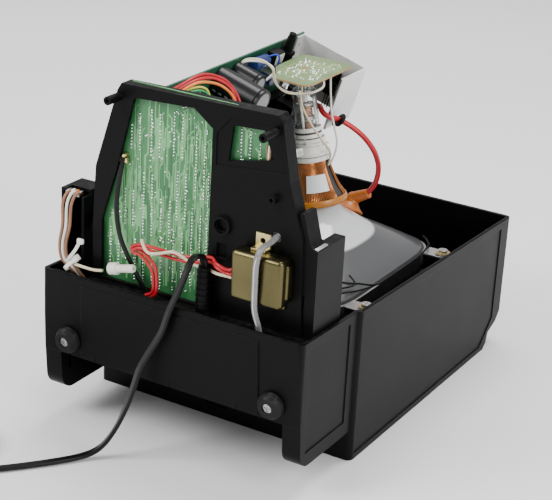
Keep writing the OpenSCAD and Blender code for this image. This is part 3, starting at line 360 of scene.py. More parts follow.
# %% The finishes
SHELL = finish("shell_plastic", (0.00294, 0.00294, 0.00315), 0.40, specular=0.09, bump=0.22, grain=1500,
               bevel=0.8, dust=0.04,
               vary=0.2, scale=25, rough_vary=0.06)
TRIM = finish("trim_plastic", (0.00315, 0.00315, 0.00315), 0.42, specular=0.1, bump=0.1, bevel=0.4, dust=0.03)
FRAME = finish("frame_paint", (0.00336, 0.00336, 0.00357), 0.42, specular=0.09, bump=0.18, grain=1200,
               bevel=0.6, dust=0.05,
               rough_vary=0.06)
BOXBLACK = finish("switch_plastic", (0.0036, 0.0036, 0.003825), 0.4, specular=0.1, bump=0.1, bevel=0.5,
                  dust=0.05)
CHIP = finish("chip_epoxy", (0.009, 0.009, 0.0102), 0.5, bump=0.15, grain=2500, bevel=0.2, specular=0.15)
STEEL = finish("bright_steel", (0.72, 0.72, 0.71), 0.3, metal=1, vary=0.12, scale=120, bevel=0.15)
DULL = finish("dull_steel", (0.42, 0.42, 0.41), 0.42, metal=1, vary=0.2, scale=90, bevel=0.2)
BRASS = finish("yellow_plate", (0.78, 0.60, 0.28), 0.3, metal=1, vary=0.18, scale=150, bevel=0.15)
CAN = finish("can_plate", (0.125, 0.108, 0.048), 0.30, metal=1.0, vary=0.22, scale=28, bevel=1.2,
             rough_vary=0.08,
             bump=0.05, grain=400)
TAB = finish("tab_plate", (0.66, 0.56, 0.26), 0.34, metal=0.9, vary=0.15, bevel=0.3)
ALUMINIUM = finish("sheet_aluminium", (0.80, 0.80, 0.79), 0.5, metal=0.55, vary=0.14, scale=40, bump=0.1,
                   grain=500, stretch=(1, 0.06, 1), bevel=0.3, rough_vary=0.05)
SOLDER = finish("solder", (0.80, 0.81, 0.80), 0.22, metal=1, vary=0.12, scale=500)
SAGE = finish("sage_laminate", (0.17, 0.25, 0.105), 0.4, vary=0.18, scale=45, bevel=0.2)
SAGE_COPPER = finish("sage_copper", (0.33, 0.40, 0.19), 0.34, vary=0.15, scale=90)
TAN = finish("laminate_edge", (0.40, 0.26, 0.12), 0.7, vary=0.25, scale=300)
RED = finish("red_sheath", (0.50, 0.012, 0.022), 0.33, vary=0.12, scale=80)
CREAM = finish("cream_sheath", (0.72, 0.64, 0.44), 0.45, vary=0.12, scale=90)
WHITE = finish("white_sheath", (0.80, 0.78, 0.72), 0.42, vary=0.06, scale=90)
BROWN = finish("brown_sheath", (0.27, 0.13, 0.07), 0.42, vary=0.15, scale=90)
ORANGE_WIRE = finish("orange_sheath", (0.80, 0.22, 0.03), 0.4, vary=0.1)
BLUE = finish("blue_sheath", (0.02, 0.05, 0.42), 0.4, vary=0.1)
YELLOW = finish("yellow_sheath", (0.70, 0.60, 0.06), 0.4, vary=0.1)
GREEN = finish("green_sheath", (0.02, 0.26, 0.08), 0.4, vary=0.1)
GREY = finish("grey_sheath", (0.20, 0.20, 0.205), 0.36, vary=0.12, scale=90)
BLACK = finish("black_sheath", (0.004, 0.004, 0.004), 0.33, specular=0.22, vary=0.2, scale=60)
RUBBER = finish("foot_rubber", (0.0132, 0.0132, 0.0132), 0.62, bump=0.3, grain=900, bevel=0.6, dust=0.10,
                specular=0.1)
RING = finish("ring_nylon", (0.86, 0.85, 0.80), 0.38, vary=0.06, scale=120, bevel=0.3)
TIE = finish("tie_nylon", (0.84, 0.83, 0.80), 0.4, vary=0.05, bevel=0.2)
SPLICE = finish("splice_nylon", (0.80, 0.78, 0.70), 0.4, vary=0.06, bevel=0.2)
CUP = finish("cup_rubber", (0.465, 0.1275, 0.01875), 0.34, vary=0.15, scale=70)
FERRITE = finish("ferrite", (0.045, 0.04, 0.038), 0.55, bump=0.3, grain=700)
COPPER = finish("winding_copper", (0.392, 0.14, 0.042), 0.3, metal=0.75, vary=0.2, scale=200)
AMBER = finish("amber_rim", (0.4752, 0.1728, 0.0216), 0.35, vary=0.2, scale=60)
PAPER = finish("blank_label", (0.80, 0.81, 0.82), 0.5, vary=0.04, scale=50)
SLEEVE = finish("capacitor_sleeve", (0.005, 0.005, 0.006), 0.30, vary=0.2, scale=50, specular=0.35)
SLEEVE_BLUE = finish("blue_sleeve", (0.02, 0.04, 0.16), 0.25, vary=0.2, scale=50)
DISC_AND_HIGHLIGHT = finish("capacitor_disc_and_highlight", (0.30, 0.30, 0.31), 0.5, vary=0.12, scale=120)
BANDING = finish("banded_steel", (0.66, 0.66, 0.65), 0.33, metal=1, vary=0.14, scale=60, bevel=0.3)
BEIGE = finish("beige_tape", (0.62, 0.50, 0.30), 0.6, vary=0.15, scale=90)
BUTTON = finish("button_red", (0.36, 0.02, 0.02), 0.35, vary=0.1, bevel=0.4)
CONE_PAPER = finish("speaker_paper", (0.03, 0.03, 0.03), 0.8, bump=0.4, grain=600)

# %% [markdown]
# ## 4. Circuit board material
# Copper under green lacquer looks lighter than bare laminate. A stretched Voronoi pattern, snapped to blocks,
# gives the broad areas; the fine tracks are added later as real raised strips.

# %% Board materials
def board(name, dark, light, u, v, rough=0.32, block=95.0):
    m = new_material(name, dark, rough)
    tree = m.node_tree
    add, link = tree.nodes.new, tree.links.new
    shader = tree.nodes["Principled BSDF"]
    where = add("ShaderNodeTexCoord")
    turned = add("ShaderNodeMapping")
    turned.inputs["Rotation"].default_value = u
    turned.inputs["Scale"].default_value = v
    link(where.outputs["Object"], turned.inputs["Vector"])
    cells = add("ShaderNodeTexVoronoi")
    cells.distance = "CHEBYCHEV"
    cells.inputs["Scale"].default_value = block
    cells.inputs["Randomness"].default_value = 0.9
    link(turned.outputs["Vector"], cells.inputs["Vector"])
    split = add("ShaderNodeSeparateColor")
    link(cells.outputs["Color"], split.inputs["Color"])
    ramp = add("ShaderNodeValToRGB")
    ramp.color_ramp.interpolation = "CONSTANT"
    ramp.color_ramp.elements[0].color = (*dark, 1)
    ramp.color_ramp.elements[1].position = 0.55
    ramp.color_ramp.elements[1].color = (*light, 1)
    link(split.outputs[0], ramp.inputs["Fac"])
    cloud = add("ShaderNodeTexNoise")
    cloud.inputs["Scale"].default_value = 28
    cloud.inputs["Detail"].default_value = 4
    link(where.outputs["Object"], cloud.inputs["Vector"])
    tone = add("ShaderNodeMapRange")
    tone.inputs["To Min"].default_value = 0.72
    tone.inputs["To Max"].default_value = 1.3
    link(cloud.outputs["Fac"], tone.inputs["Value"])
    shade = add("ShaderNodeVectorMath")
    shade.operation = "SCALE"
    link(ramp.outputs["Color"], shade.inputs[0])
    link(tone.outputs["Result"], shade.inputs["Scale"])
    link(shade.outputs["Vector"], shader.inputs["Base Color"])
    return m


LOGIC = board("logic_laminate", (0.030, 0.155, 0.050), (0.042, 0.187, 0.064), (0, 0, 0), (1, 0.01, 0.4))
LOGIC_COPPER = finish("logic_copper", (0.15, 0.40, 0.16), 0.28, vary=0.2, scale=80)
LOGIC_DARK = finish("logic_gap", (0.028, 0.13, 0.045), 0.4, vary=0.2, scale=80)
POWERPCB = board("power_laminate", (0.016, 0.085, 0.045), (0.0183, 0.0963, 0.0488), (0, 0, 0), (1, 0.6, 1),
                 block=70)
POWER_COPPER = finish("power_copper", (0.07, 0.22, 0.10), 0.3, vary=0.2, scale=80)

# %% [markdown]
# ## 5. Glass
# The tube's glass is clear at the neck. Lower down it has a coat inside that makes it white where the coat is
# thin and dark grey where a second coat lies outside. A mask by height, with a little noise, draws the edge.

# %% Glass materials
def tube_glass(name):
    m = new_material(name, (0.5, 0.5, 0.5), 0.12, specular=0.6)
    tree = m.node_tree
    add, link = tree.nodes.new, tree.links.new
    shader = tree.nodes["Principled BSDF"]
    shader.inputs["Coat Weight"].default_value = 0.6
    shader.inputs["Coat Roughness"].default_value = 0.05
    where = add("ShaderNodeTexCoord")
    split = add("ShaderNodeSeparateXYZ")
    link(where.outputs["Object"], split.inputs["Vector"])
    # distance from the tube's middle along X lowers the edge of the dark coat
    side = add("ShaderNodeMath")
    side.operation = "MULTIPLY"
    side.inputs[1].default_value = 0.20
    link(split.outputs["X"], side.inputs[0])
    slope = add("ShaderNodeMath")
    slope.operation = "ADD"
    link(split.outputs["Z"], slope.inputs[0])
    link(side.outputs[0], slope.inputs[1])
    edge = add("ShaderNodeMapRange")
    edge.inputs["From Min"].default_value = COAT_Z
    edge.inputs["From Max"].default_value = COAT_Z + 0.0012
    link(slope.outputs[0], edge.inputs["Value"])
    mix = add("ShaderNodeMix")
    mix.data_type = "RGBA"
    mix.inputs[6].default_value = (0.060, 0.061, 0.064, 1)
    mix.inputs[7].default_value = (0.62, 0.63, 0.64, 1)
    link(edge.outputs["Result"], mix.inputs[0])
    link(mix.outputs[2], shader.inputs["Base Color"])
    wear = add("ShaderNodeMapRange")
    wear.inputs["To Min"].default_value = 0.34
    wear.inputs["To Max"].default_value = 0.10
    link(edge.outputs["Result"], wear.inputs["Value"])
    link(wear.outputs["Result"], shader.inputs["Roughness"])
    return m


COAT_Z = 0.1285
TUBE = tube_glass("tube_glass")
NECK_GLASS = new_material("neck_glass", (0.93, 0.95, 0.95), 0.04, specular=0.6)
NECK_GLASS.node_tree.nodes["Principled BSDF"].inputs["Transmission Weight"].default_value = 0.96
NECK_GLASS.node_tree.nodes["Principled BSDF"].inputs["IOR"].default_value = 1.12
GUN = finish("gun_steel", (0.70, 0.66, 0.60), 0.25, metal=1, vary=0.2, scale=150)
GUN_DARK = finish("gun_copper", (0.42, 0.20, 0.10), 0.32, metal=0.8, vary=0.3, scale=200)

# %% [markdown]
# ## 6. Finishes of the CAD nodes
# Each CAD node keeps its mesh. Only its material is set here.

# %% Dress the CAD nodes
DRESS = {
    "front_shell": SHELL, "screen_hood": TRIM, "tube_band": BANDING, "tube_screws": STEEL,
    "clamp_screw": STEEL, "neck_socket": TRIM, "chassis_frame": FRAME, "frame_screws": STEEL,
    "logic_board": LOGIC, "logic_chips": CHIP, "board_screws": STEEL, "power_board": POWERPCB,
    "heat_sink": ALUMINIUM, "power_transistors": CHIP, "line_transformer": TRIM, "sound_chip": CHIP,
    "brightness_pot": TRIM, "brightness_knob": BOXBLACK, "lead_clip": TRIM, "earth_wire": BLACK,
    "yoke_clamp": RING, "centring_ring_front": RING, "centring_ring_rear": RING, "transformer_strap": TAB,
    "strain_relief": TRIM, "switch_box": BOXBLACK, "volume_pot": DULL, "volume_knob": TRIM,
    "reset_button": BUTTON, "button_spring": STEEL, "speaker": CONE_PAPER, "speaker_screws": STEEL,
    "hand_control_socket": TRIM, "rubber_feet": RUBBER, "foot_screws": DULL, "anode_cup": CUP,
    "deflection_yoke": COPPER, "coil_tie": TRIM, "mains_plug": TRIM, "plug_pins": BRASS,
    "mains_cord": BLACK, "mains_cord_coil": BLACK, "anode_lead": RED, "power_leads": RED,
    "loop_leads": CREAM, "neck_leads": CREAM, "secondary_leads": RED, "mains_lead_inner": GREY,
    "switch_leads": BROWN, "splice_connector": SPLICE, "cable_tie": TIE, "board_strap": BLACK,
    "mains_transformer": CAN, "filter_capacitors": SLEEVE, "small_capacitors": SLEEVE_BLUE,
    "neck_board": SAGE, "picture_tube": TUBE,
}
for node_name, node in NODES.items():
    node.data.materials.clear()
    node.data.materials.append(DRESS[node_name])
for node_name in ("picture_tube", "deflection_yoke", "anode_cup"):
    for polygon in NODES[node_name].data.polygons:
        polygon.use_smooth = True

# %% [markdown]
# ## 7. The mains cord
# A free cord keeps its real length. What shows runs down the base and over the floor; the rest lies in a
# neat coil out of view. The section is two round cores side by side with a waist between them.

# %% Cord, coil and plug
CORD_W, CORD_T = 6.4, 3.8
FLOOR_Z = CORD_T / 2 + 0.3
COIL_X, COIL_Y = -152.0, -268.0
near_y = -181.167
plate_y = near_y + 19.5
relief_y = plate_y - 7.3
visible = [(24, relief_y, 164.4), (23.8, relief_y - 0.1, 168.4), (23, -171.2, 173.6), (21.9, -176.4, 175.7),
           (20.6, -181.4, 173.4), (19.2, -183.4, 168.2), (17, -183.9, 161.4), (12.4, -184.2, 149),
           (7, -184.4, 136), (3.4, -185.6, 125), (-1, -187, 110),
           (-11.6, -188.2, 90), (-17.4, -190, 77), (-20.6, -193, 62), (-24.4, -196.6, 46),
           (-30, -200.4, 29), (-37, -205, 14.6), (-44, -210.4, 6.4), (-52, -220, FLOOR_Z + 0.9),
          
           (-64, -236, FLOOR_Z + 0.1), (-80, -256, FLOOR_Z), (-97, -275, FLOOR_Z), (-114, -291, FLOOR_Z),
           (-132, -303, FLOOR_Z)]
# the coil as (degrees travelled, radius, layer); between two entries the values run straight
turns = [(4, 40.0, 0), (60, 33.8, 0), (320, 33.8, 0), (360, 27.3, 0), (640, 27.3, 0), (680, 27.3, 1),
         (960, 27.3, 1), (1000, 33.8, 1), (1280, 33.8, 1), (1320, 33.8, 2), (1600, 33.8, 2), (1640, 27.3, 2),
         (1900, 27.3, 2), (1940, 27.3, 3), (2200, 27.3, 3), (2240, 33.8, 3), (2540, 34.4, 3)]
coil_line = []
for (a0, r0, l0), (a1, r1, l1) in zip(turns, turns[1:]):
    count = max(2, int((a1 - a0) / 8))
    for s in range(count):
        t = s / count
        e = t * t * (3 - 2 * t)
        angle = math.radians(-60 - (a0 + (a1 - a0) * t))
        r = r0 + (r1 - r0) * e
        coil_line.append(Vector((COIL_X + r * math.cos(angle), COIL_Y + r * math.sin(angle),
                                 FLOOR_Z + (l0 + (l1 - l0) * e) * (CORD_T + 0.12))))
PLUG_X, PLUG_Y = -212.0, COIL_Y - 37.0
tail = smooth_line([coil_line[-1], (COIL_X - 10, COIL_Y - 35.6, 12.4), (COIL_X - 20, COIL_Y - 37, 9.6),
                    (COIL_X - 34, COIL_Y - 37, 7.4), (PLUG_X + 11.8, PLUG_Y, 7)], 6)[1:]
cord_line = smooth_line(visible, 8) + coil_line + tail
lobe = CORD_T / 2
section = []
for j in range(20):
    a = 2 * math.pi * j / 20
    c, s = math.cos(a), math.sin(a)
    mid = CORD_W / 2 - lobe
    section.append((mid * (1 if c > 0 else -1) * min(1, abs(c) * 3) + lobe * c * 1.0,
                    lobe * s * (0.86 if abs(c) < 0.32 else 1.0)))
last = len(smooth_line(visible, 8))


def lay_flat(i, p):
    return min(1.0, max(0.0, (60 - p.z) / 55)) if i < last else 1.0


verts, faces = sweep(cord_line, section, (1, 0, 0), lay_flat)
cord = piece("mains_cord_flex", verts, faces, BLACK)

# a moulded two-pin plug with a tapered neck of grip rings
plug_parts = [round_box("plug_body", (-12, -10, 0.15), (9, 10, 13.9), TRIM, 2.6, at(PLUG_X, PLUG_Y),
                        segments=4)]
neck_rings = []
for i in range(4):
    neck_rings += [(4.6 - i * 0.45, 8.2 + i * 2.6), (4.6 - i * 0.45, 10.0 + i * 2.6),
                   (3.7 - i * 0.3, 10.2 + i * 2.6),
                   (3.7 - i * 0.3, 10.8 + i * 2.6)]
neck_rings = [(0.01, 8.2)] + neck_rings + [(0.01, 18.6)]
plug_parts.append(lathe("plug_neck", neck_rings, TRIM, at(PLUG_X, PLUG_Y, 7) @ turn("Y", 90), 24))
plug = together("mains_plug_body", plug_parts)
blades = []
for y in (-6.35, 6.35):
    outline = [(-27.9, 3.9), (-26.6, 3.2), (-12.1, 3.2), (-12.1, 9.6), (-26.6, 9.6), (-27.9, 8.9)]
    blades.append(slab_shape("blade", [(x, z + 0.6) for x, z in outline], 1.5, BRASS,
                             at(PLUG_X, PLUG_Y + y + 0.75, 0) @ turn("X", 90), 0.25))
blades = together("plug_blades", blades)
tie_line = smooth_line([(-37.6, 0, 1.1), (-30.5, 0, 0.9), (-23.4, 0, 1.1), (-22.9, 0, 8), (-23.4, 0, 16.3),
                        (-30.5, 0, 16.6), (-37.6, 0, 16.3), (-38.2, 0, 8), (-37.6, 0, 1.1)], 5)
verts, faces = sweep(tie_line, [(-2, -0.4), (2, -0.4), (2, 0.4), (-2, 0.4)], (0, 1, 0))
tie = piece("cord_coil_tie", verts, faces, BOXBLACK, at(COIL_X, COIL_Y))
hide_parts("mains_cord", "mains_cord_coil")
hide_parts("mains_plug")
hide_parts("plug_pins")
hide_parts("coil_tie")

# %% [markdown]
# ## 8. Leads
# Each bundle is replaced by separate round leads on the same routes, every one in its own colour.

# %% Leads
box_y0 = near_y + 20
tie_z = 138.4
hole_x, hole_z = 79.3, 200.0
shelf_z = 126.4
logic_y = plate_y + 5
board_z = 259.0

lead_sets = {}


def bundle(node, name, leads):
    parts = [wire(name, *lead) for lead in leads]
    obj = together(name, parts) if len(parts) > 1 else parts[0]
    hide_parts(node)
    lead_sets[name] = obj
    return obj


bundle("anode_lead", "anode_lead_sheath", [
    ([(-38, 66, 222), (-28, 68, 222), (-18, 64.5, 224), (-11, 59, 225), (-6.5, 53.8, 224), (-2, 52.9, 221.4),
      (2, 57.6, 218.6), (6.4, 64, 215.8), (15, 72, 208.6), (23.4, 79, 199.2), (29, 86, 187.4),
      (30.9, 91, 177),
      (30.2, 95, 168), (27.6, 98.5, 158), (23.6, 101, 149.6),
      (18.4, 102, 142.8)], 2.35, RED)])
power_leads = []
for d, color in ((0, RED), (1, RED)):
    power_leads.append(([(-42 - d * 4, logic_y + 2.9, 256), (-38 - d * 3, -148, 266),
                         (-30 - d * 2, -140, 281 - d),
                         (-22.6 - d, -125, 289 - d), (-21 - d, -110, 290 - d * 2), (-18.6, -98, 287 - d * 2),
                         (-14, -88, 281.5 - d * 2), (-9.6, -80, 271 - d), (-8.2, -74, 258), (-14, -62, 244),
                         (-30, -52, 234), (-56 - 5 * d, -52, 226 - d * 7)], 1.15, color))
bundle("power_leads", "power_lead_pair", power_leads)
bundle("loop_leads", "loop_lead_pair", [
    ([(-35.2, 20, 258.6), (-37, 14 - d, 255), (-40, 8, 252.6), (-46, 4, 253.2), (-53, 1 + d, 258),
      (-56 + d, -2, 265),
      (-49, -2 - d, 272.6 - d), (-36, 0, 274.2 - d), (-27, 2 + d, 269), (-24.7 - d, 4, 261), (-22, 6, 253),
      (-12, 7 + d, 249.4), (3, 13, 251), (9, 24, 254.4), (6, 30, 258.6)], 0.95, c)
    for d, c in ((0, CREAM), (1.4, WHITE))])
bundle("neck_leads", "neck_lead_pair", [
    ([(-8, 20, board_z - 0.3), (-8, 20, 250), (-9, 22, 238), (-2, 26, 222), (6, 32, 208), (11, 38, 198),
      (11, 41.5, 191), (8.6, 43, 182)], 0.9, CREAM),
    ([(2, 50, board_z - 0.3), (2, 50, 252), (3, 50, 240), (5, 50, 225), (9, 50, 212), (12, 49.6, 202),
      (11.5, 48.5, 192), (8.4, 47, 182)], 0.9, WHITE)])
secondary = [
    ([(50.7, plate_y - 6, 171), (45.5, -170, 168.6), (36, -170.5, 170.8), (26, -163.6, 171.4),
      (9, -163.4, 167),
      (-3, -165, 166.4), (-24, -170, 169.3), (-36, -170.5, 168), (-41, -170, 163.4), (-33, -170, 164),
      (-20.7, -170, 156.6), (-17.4, -170, 146.5), (-18, -170, 133), (-24, -168.5, 128)], 1.3, RED),
    ([(50.7, plate_y - 9, 167), (45, -170, 165.4), (36, -170.5, 168), (26, -163.4, 167.6), (9, -163.2, 163),
      (-6, -165, 162.6), (-24, -171, 166.4), (-34, -172, 166.4), (-38.6, -172, 162), (-32, -171, 160.6),
      (-22.6, -171, 153), (-20.4, -170, 144), (-21, -170, 133), (-28, -168.5, 128)], 1.3, RED),
    ([(50.7, plate_y - 8, 163), (45.6, -170, 163.4), (36, -170.5, 163.4), (24, -163.4, 161.4),
      (12, -165, 162.4),
      (-3, -168, 169.3), (-16, -171, 166), (-24, -172.5, 165.2), (-29, -172, 170), (-31, -171, 174)], 1.2,
      CREAM)]
bundle("secondary_leads", "secondary_lead_pair", secondary)
switch = []
for d, color in ((0, BROWN), (1, WHITE), (2, BROWN)):
    switch.append(([(-107 + 4 * d, box_y0 + 6, tie_z + 51), (-107 + 4 * d, box_y0 - 1, tie_z + 53),
                    (-108 + 4 * d, box_y0 - 6, tie_z + 45), (-106 + 3.4 * d, box_y0 - 9, tie_z + 29),
                    (-108 + 3 * d, box_y0 - 10, tie_z + 13), (-106 + 3 * d, box_y0 - 10.5, tie_z + 2),
                    (-100 + 3 * d, box_y0 - 10.5, tie_z - 3 + d), (-94 + 2.6 * d, box_y0 - 8, tie_z - 9),
                    (-92 + 2.6 * d, box_y0 - 2, shelf_z - 5)], 1.25, color))
switch.append(([(-93, box_y0 - 10.8, tie_z - 0.6), (-76, box_y0 - 11.5, tie_z - 0.5),
                (-66, box_y0 - 11, tie_z + 1)],
               1.2, CREAM))
bundle("switch_leads", "switch_lead_set", switch)
verts, faces = sweep(smooth_line([
    (hole_x, plate_y + 8, hole_z - 1), (hole_x, plate_y + 2, hole_z), (hole_x - 0.5, plate_y - 6, hole_z - 2),
    (hole_x - 2, plate_y - 16.8, hole_z - 4.4), (hole_x - 3, plate_y - 20.9, 186),
    (hole_x - 3.5, plate_y - 20.6, 168),
    (hole_x - 4, plate_y - 18.9, 149), (hole_x - 4, plate_y - 12.5, 134), (hole_x - 4, plate_y - 9.5, 124),
    (hole_x - 4, plate_y - 9, 112), (hole_x + 6, plate_y - 4, 96), (hole_x + 18, plate_y + 4, 82),
    (hole_x + 10, plate_y + 12, 67.3)], 5),
    [(2.6 * math.cos(a) , 1.8 * math.sin(a) * (0.8 if abs(math.cos(a)) < 0.3 else 1))
    for a in [2 * math.pi * j / 16 for j in range(16)]], (1, 0, 0))
inner = piece("mains_lead_flex", verts, faces, GREY)
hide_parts("mains_lead_inner")

# %% [markdown]
# ## 9. Repeated things with Geometry Nodes
# One node tree places copies of an item on every point of a mesh. The points carry their own turn and size as
# named attributes. The tree takes the item, a spread of sizes, a seed and a material as inputs. The result is
# turned into a plain mesh, so no modifier is left on it.

# %% The placing tree
def placing_tree():
    tree = bpy.data.node_groups.new("place_copies", "GeometryNodeTree")
    for label, kind in (("Points", "Geometry"), ("Item", "Object"), ("Size spread", "Float"), ("Seed", "Int"),
                        ("Material", "Material")):
        tree.interface.new_socket(label, in_out="INPUT", socket_type="NodeSocket" + kind)
    tree.interface.new_socket("Copies", in_out="OUTPUT", socket_type="NodeSocketGeometry")
    add, link = tree.nodes.new, tree.links.new
    start, end = add("NodeGroupInput"), add("NodeGroupOutput")
    item = add("GeometryNodeObjectInfo")
    link(start.outputs["Item"], item.inputs["Object"])
    rot, size = add("GeometryNodeInputNamedAttribute"), add("GeometryNodeInputNamedAttribute")
    for node, kind, attribute in ((rot, "FLOAT_VECTOR", "turn"), (size, "FLOAT", "size")):
        node.data_type = kind
        node.inputs["Name"].default_value = attribute
    low, high = add("ShaderNodeMath"), add("ShaderNodeMath")
    low.operation, high.operation = "SUBTRACT", "ADD"
    low.inputs[0].default_value = high.inputs[0].default_value = 1.0
    link(start.outputs["Size spread"], low.inputs[1])
    link(start.outputs["Size spread"], high.inputs[1])
    vary = add("FunctionNodeRandomValue")
    link(low.outputs[0], vary.inputs[2])
    link(high.outputs[0], vary.inputs[3])
    link(start.outputs["Seed"], vary.inputs["Seed"])
    scale = add("ShaderNodeMath")
    scale.operation = "MULTIPLY"
    link(size.outputs[0], scale.inputs[0])
    link(vary.outputs[1], scale.inputs[1])
    copies = add("GeometryNodeInstanceOnPoints")
    link(start.outputs["Points"], copies.inputs["Points"])
    link(item.outputs["Geometry"], copies.inputs["Instance"])
    link(rot.outputs[0], copies.inputs["Rotation"])
    link(scale.outputs[0], copies.inputs["Scale"])
    real = add("GeometryNodeRealizeInstances")
    paint = add("GeometryNodeSetMaterial")
    link(copies.outputs["Instances"], real.inputs["Geometry"])
    link(real.outputs["Geometry"], paint.inputs["Geometry"])
    link(start.outputs["Material"], paint.inputs["Material"])
    link(paint.outputs["Geometry"], end.inputs["Copies"])
    return tree


PLACE = placing_tree()
SOCKET = {s.name: s.identifier for s in PLACE.interface.items_tree if s.in_out == "INPUT"}


def copies(name, item, points, material, seed=1, spread=0.1, body="case"):
    """Copies of an item at (position in mm, turn as Euler angles, size), as one mesh."""
    mesh = bpy.data.meshes.new(name + "_points")
    mesh.from_pydata([tuple(Vector(p) * MM) for p, _, _ in points], [], [])
    mesh.attributes.new("turn", "FLOAT_VECTOR", "POINT").data.foreach_set("vector",
                                                                          [v for _, e,
                                                                           _ in points for v in e])
    mesh.attributes.new("size", "FLOAT", "POINT").data.foreach_set("value", [s for _, _, s in points])
    holder = bpy.data.objects.new(name + "_points", mesh)
    bpy.context.scene.collection.objects.link(holder)
    mod = holder.modifiers.new("place", "NODES")
    mod.node_group = PLACE
    mod[SOCKET["Item"]] = item
    mod[SOCKET["Size spread"]] = spread
    mod[SOCKET["Seed"]] = seed
    mod[SOCKET["Material"]] = material
    bpy.context.view_layer.update()
    made = bpy.data.meshes.new_from_object(holder.evaluated_get(bpy.context.evaluated_depsgraph_get()))
    made.name = name
    bpy.data.objects.remove(holder)
    obj = bpy.data.objects.new(name, made)
    bpy.context.scene.collection.objects.link(obj)
    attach(obj, body)
    return obj


def template(maker):
    """An item to copy: made at the origin, hidden, and removed when its copies exist."""
    obj = maker()
    obj.hide_render = True
    return obj


def tracks(name, lines, widths, place, material, lift=0.06):
    """Copper tracks: flat strips along lines of (u, v) points on a board's face."""
    verts, faces = [], []
    for line, w in zip(lines, widths):
        for (x0, y0), (x1, y1) in zip(line, line[1:]):
            d = Vector((x1 - x0, y1 - y0, 0))
            if d.length < 0.05:
                continue
            d.normalize()
            s = Vector((-d.y, d.x, 0)) * w / 2
            e = d * w * 0.35
            a, b = Vector((x0, y0, 0)) - e, Vector((x1, y1, 0)) + e
            k = len(verts)
            top = lift * (1 + 0.6 * ((k // 8 * 7) % 101) / 101)
            for z in (-0.02, top):
                for p in (a + s, a - s, b - s, b + s):
                    verts.append((p.x, p.y, z))
            faces += [(k, k + 1, k + 2, k + 3), (k + 4, k + 7, k + 6, k + 5), (k, k + 4, k + 5, k + 1),
                      (k + 1, k + 5, k + 6, k + 2), (k + 2, k + 6, k + 7, k + 3), (k + 3, k + 7, k + 4, k)]
    return piece(name, verts, faces, material, place, smooth=False)


def drop():
    return lathe("drop_item", [(0.001, -0.1), (1.0, -0.1), (0.95, 0.25), (0.62, 0.55), (0.3, 0.85),
                               (0.001, 0.95)],
                 SOLDER, k=12, sharp=180)


# %% [markdown]
# ## 10. The logic board's soldered side
# Rows of joints stand where the chips' pins come through. Tracks run mostly along the board and step sideways
# at 45 degrees. The board is seen through two windows of the frame, so nothing is made outside them.

# %% Logic board
PITCH = 2.54        # spacing of the boards' pins, mm
dice = random.Random(11)
FACE = at(0, logic_y, 0) @ turn("X", 90)      # board face: u is x, v is z, out of the soldered side


def inside_window(x, z):
    left = -73.5 if z < 178 else (-73.5 + (z - 178) * 0.31 if z < 220 else -60.5 + (z - 220) * 0.22)
    if z < 130 or z > 280 - max(0, (x - 4)) * 0.75 or x < left or x > 20.6:
        return 40.5 < x < 72 - (z - 250) * -0.2 and 249.5 < z < 275.5
    return True


rows = [(-70, 132, 17), (-62.4, 132, 17), (-57, 176, 12), (-49.4, 176, 12), (-47, 132, 14), (-39.4, 132, 14),
        (-40, 172, 20), (-32.4, 172, 20), (-31, 130, 14), (-23.4, 130, 14), (-24, 170, 14), (-16.4, 170, 14),
        (-12, 132, 20), (-4.4, 132, 20), (-10, 190, 16), (-2.4, 190, 16), (4, 140, 24), (11.6, 140, 24),
        (17.5, 134, 40), (-52, 238, 12), (-44.4, 238, 12), (-34, 236, 14), (-26.4, 236, 14), (-14, 240, 14),
        (-6.4, 240, 14), (6, 212, 20), (13.6, 212, 18), (44, 250, 10), (51.6, 250, 10), (60, 252, 8)]
joints = []
for x, z, n in rows:
    for i in range(n):
        q = (x + dice.uniform(-0.12, 0.12), z + i * PITCH + dice.uniform(-0.12, 0.12))
        if inside_window(*q) and dice.random() > 0.04:
            joints.append(q)
for i in range(170):
    q = (dice.uniform(-74, 70), dice.uniform(130, 280))
    if inside_window(*q):
        joints.append(q)
drop_item = template(drop)
solder = copies("logic_solder", drop_item,
                [((x, logic_y - 0.02, z), (math.pi / 2, 0, 0), dice.uniform(0.72, 0.92))
                                            for x, z in joints], SOLDER, seed=4, spread=0.14)

lines, widths = [], []
for i in range(330):
    x, z = dice.uniform(-73, 70), dice.uniform(128, 268)
    line = [(x, z)]
    for _ in range(dice.choice((1, 2, 2, 3))):
        run = dice.uniform(6, 30)
        z += run
        line.append((x, z))
        jog = dice.choice((-1, 1)) * dice.choice((PITCH / 2, PITCH, PITCH, PITCH * 2))
        x += jog
        z += abs(jog)
        line.append((x, z))
    if sum(inside_window(*p) for p in line) > 1 and inside_window(*line[0]):
        cut = []
        for p in line:
            if not inside_window(*p):
                break
            cut.append(p)
        if len(cut) > 1:
            lines.append(cut)
            widths.append(dice.choice((0.6, 0.8, 0.8, 1.0, 1.6)))
for i in range(26):
    x, z = dice.uniform(-70, 16), dice.uniform(134, 250)
    h = dice.uniform(8, 26)
    if all(inside_window(x + a, z + b) for a in (-3, 3) for b in (0, h)):
        lines.append([(x, z), (x, z + h)])
        widths.append(dice.uniform(2.4, 4.8))
light = tracks("logic_tracks", lines, widths, FACE, LOGIC_COPPER, 0.05)
dark_lines, dark_widths = [], []
for i in range(150):
    x, z = dice.uniform(-73, 70), dice.uniform(128, 270)
    h = dice.uniform(5, 40)
    if inside_window(x, z) and inside_window(x, z + h):
        dark_lines.append([(x, z), (x, z + h)])
        dark_widths.append(dice.choice((0.35, 0.45, 0.6)))
dark = tracks("logic_gaps", dark_lines, dark_widths, FACE, LOGIC_DARK, 0.11)
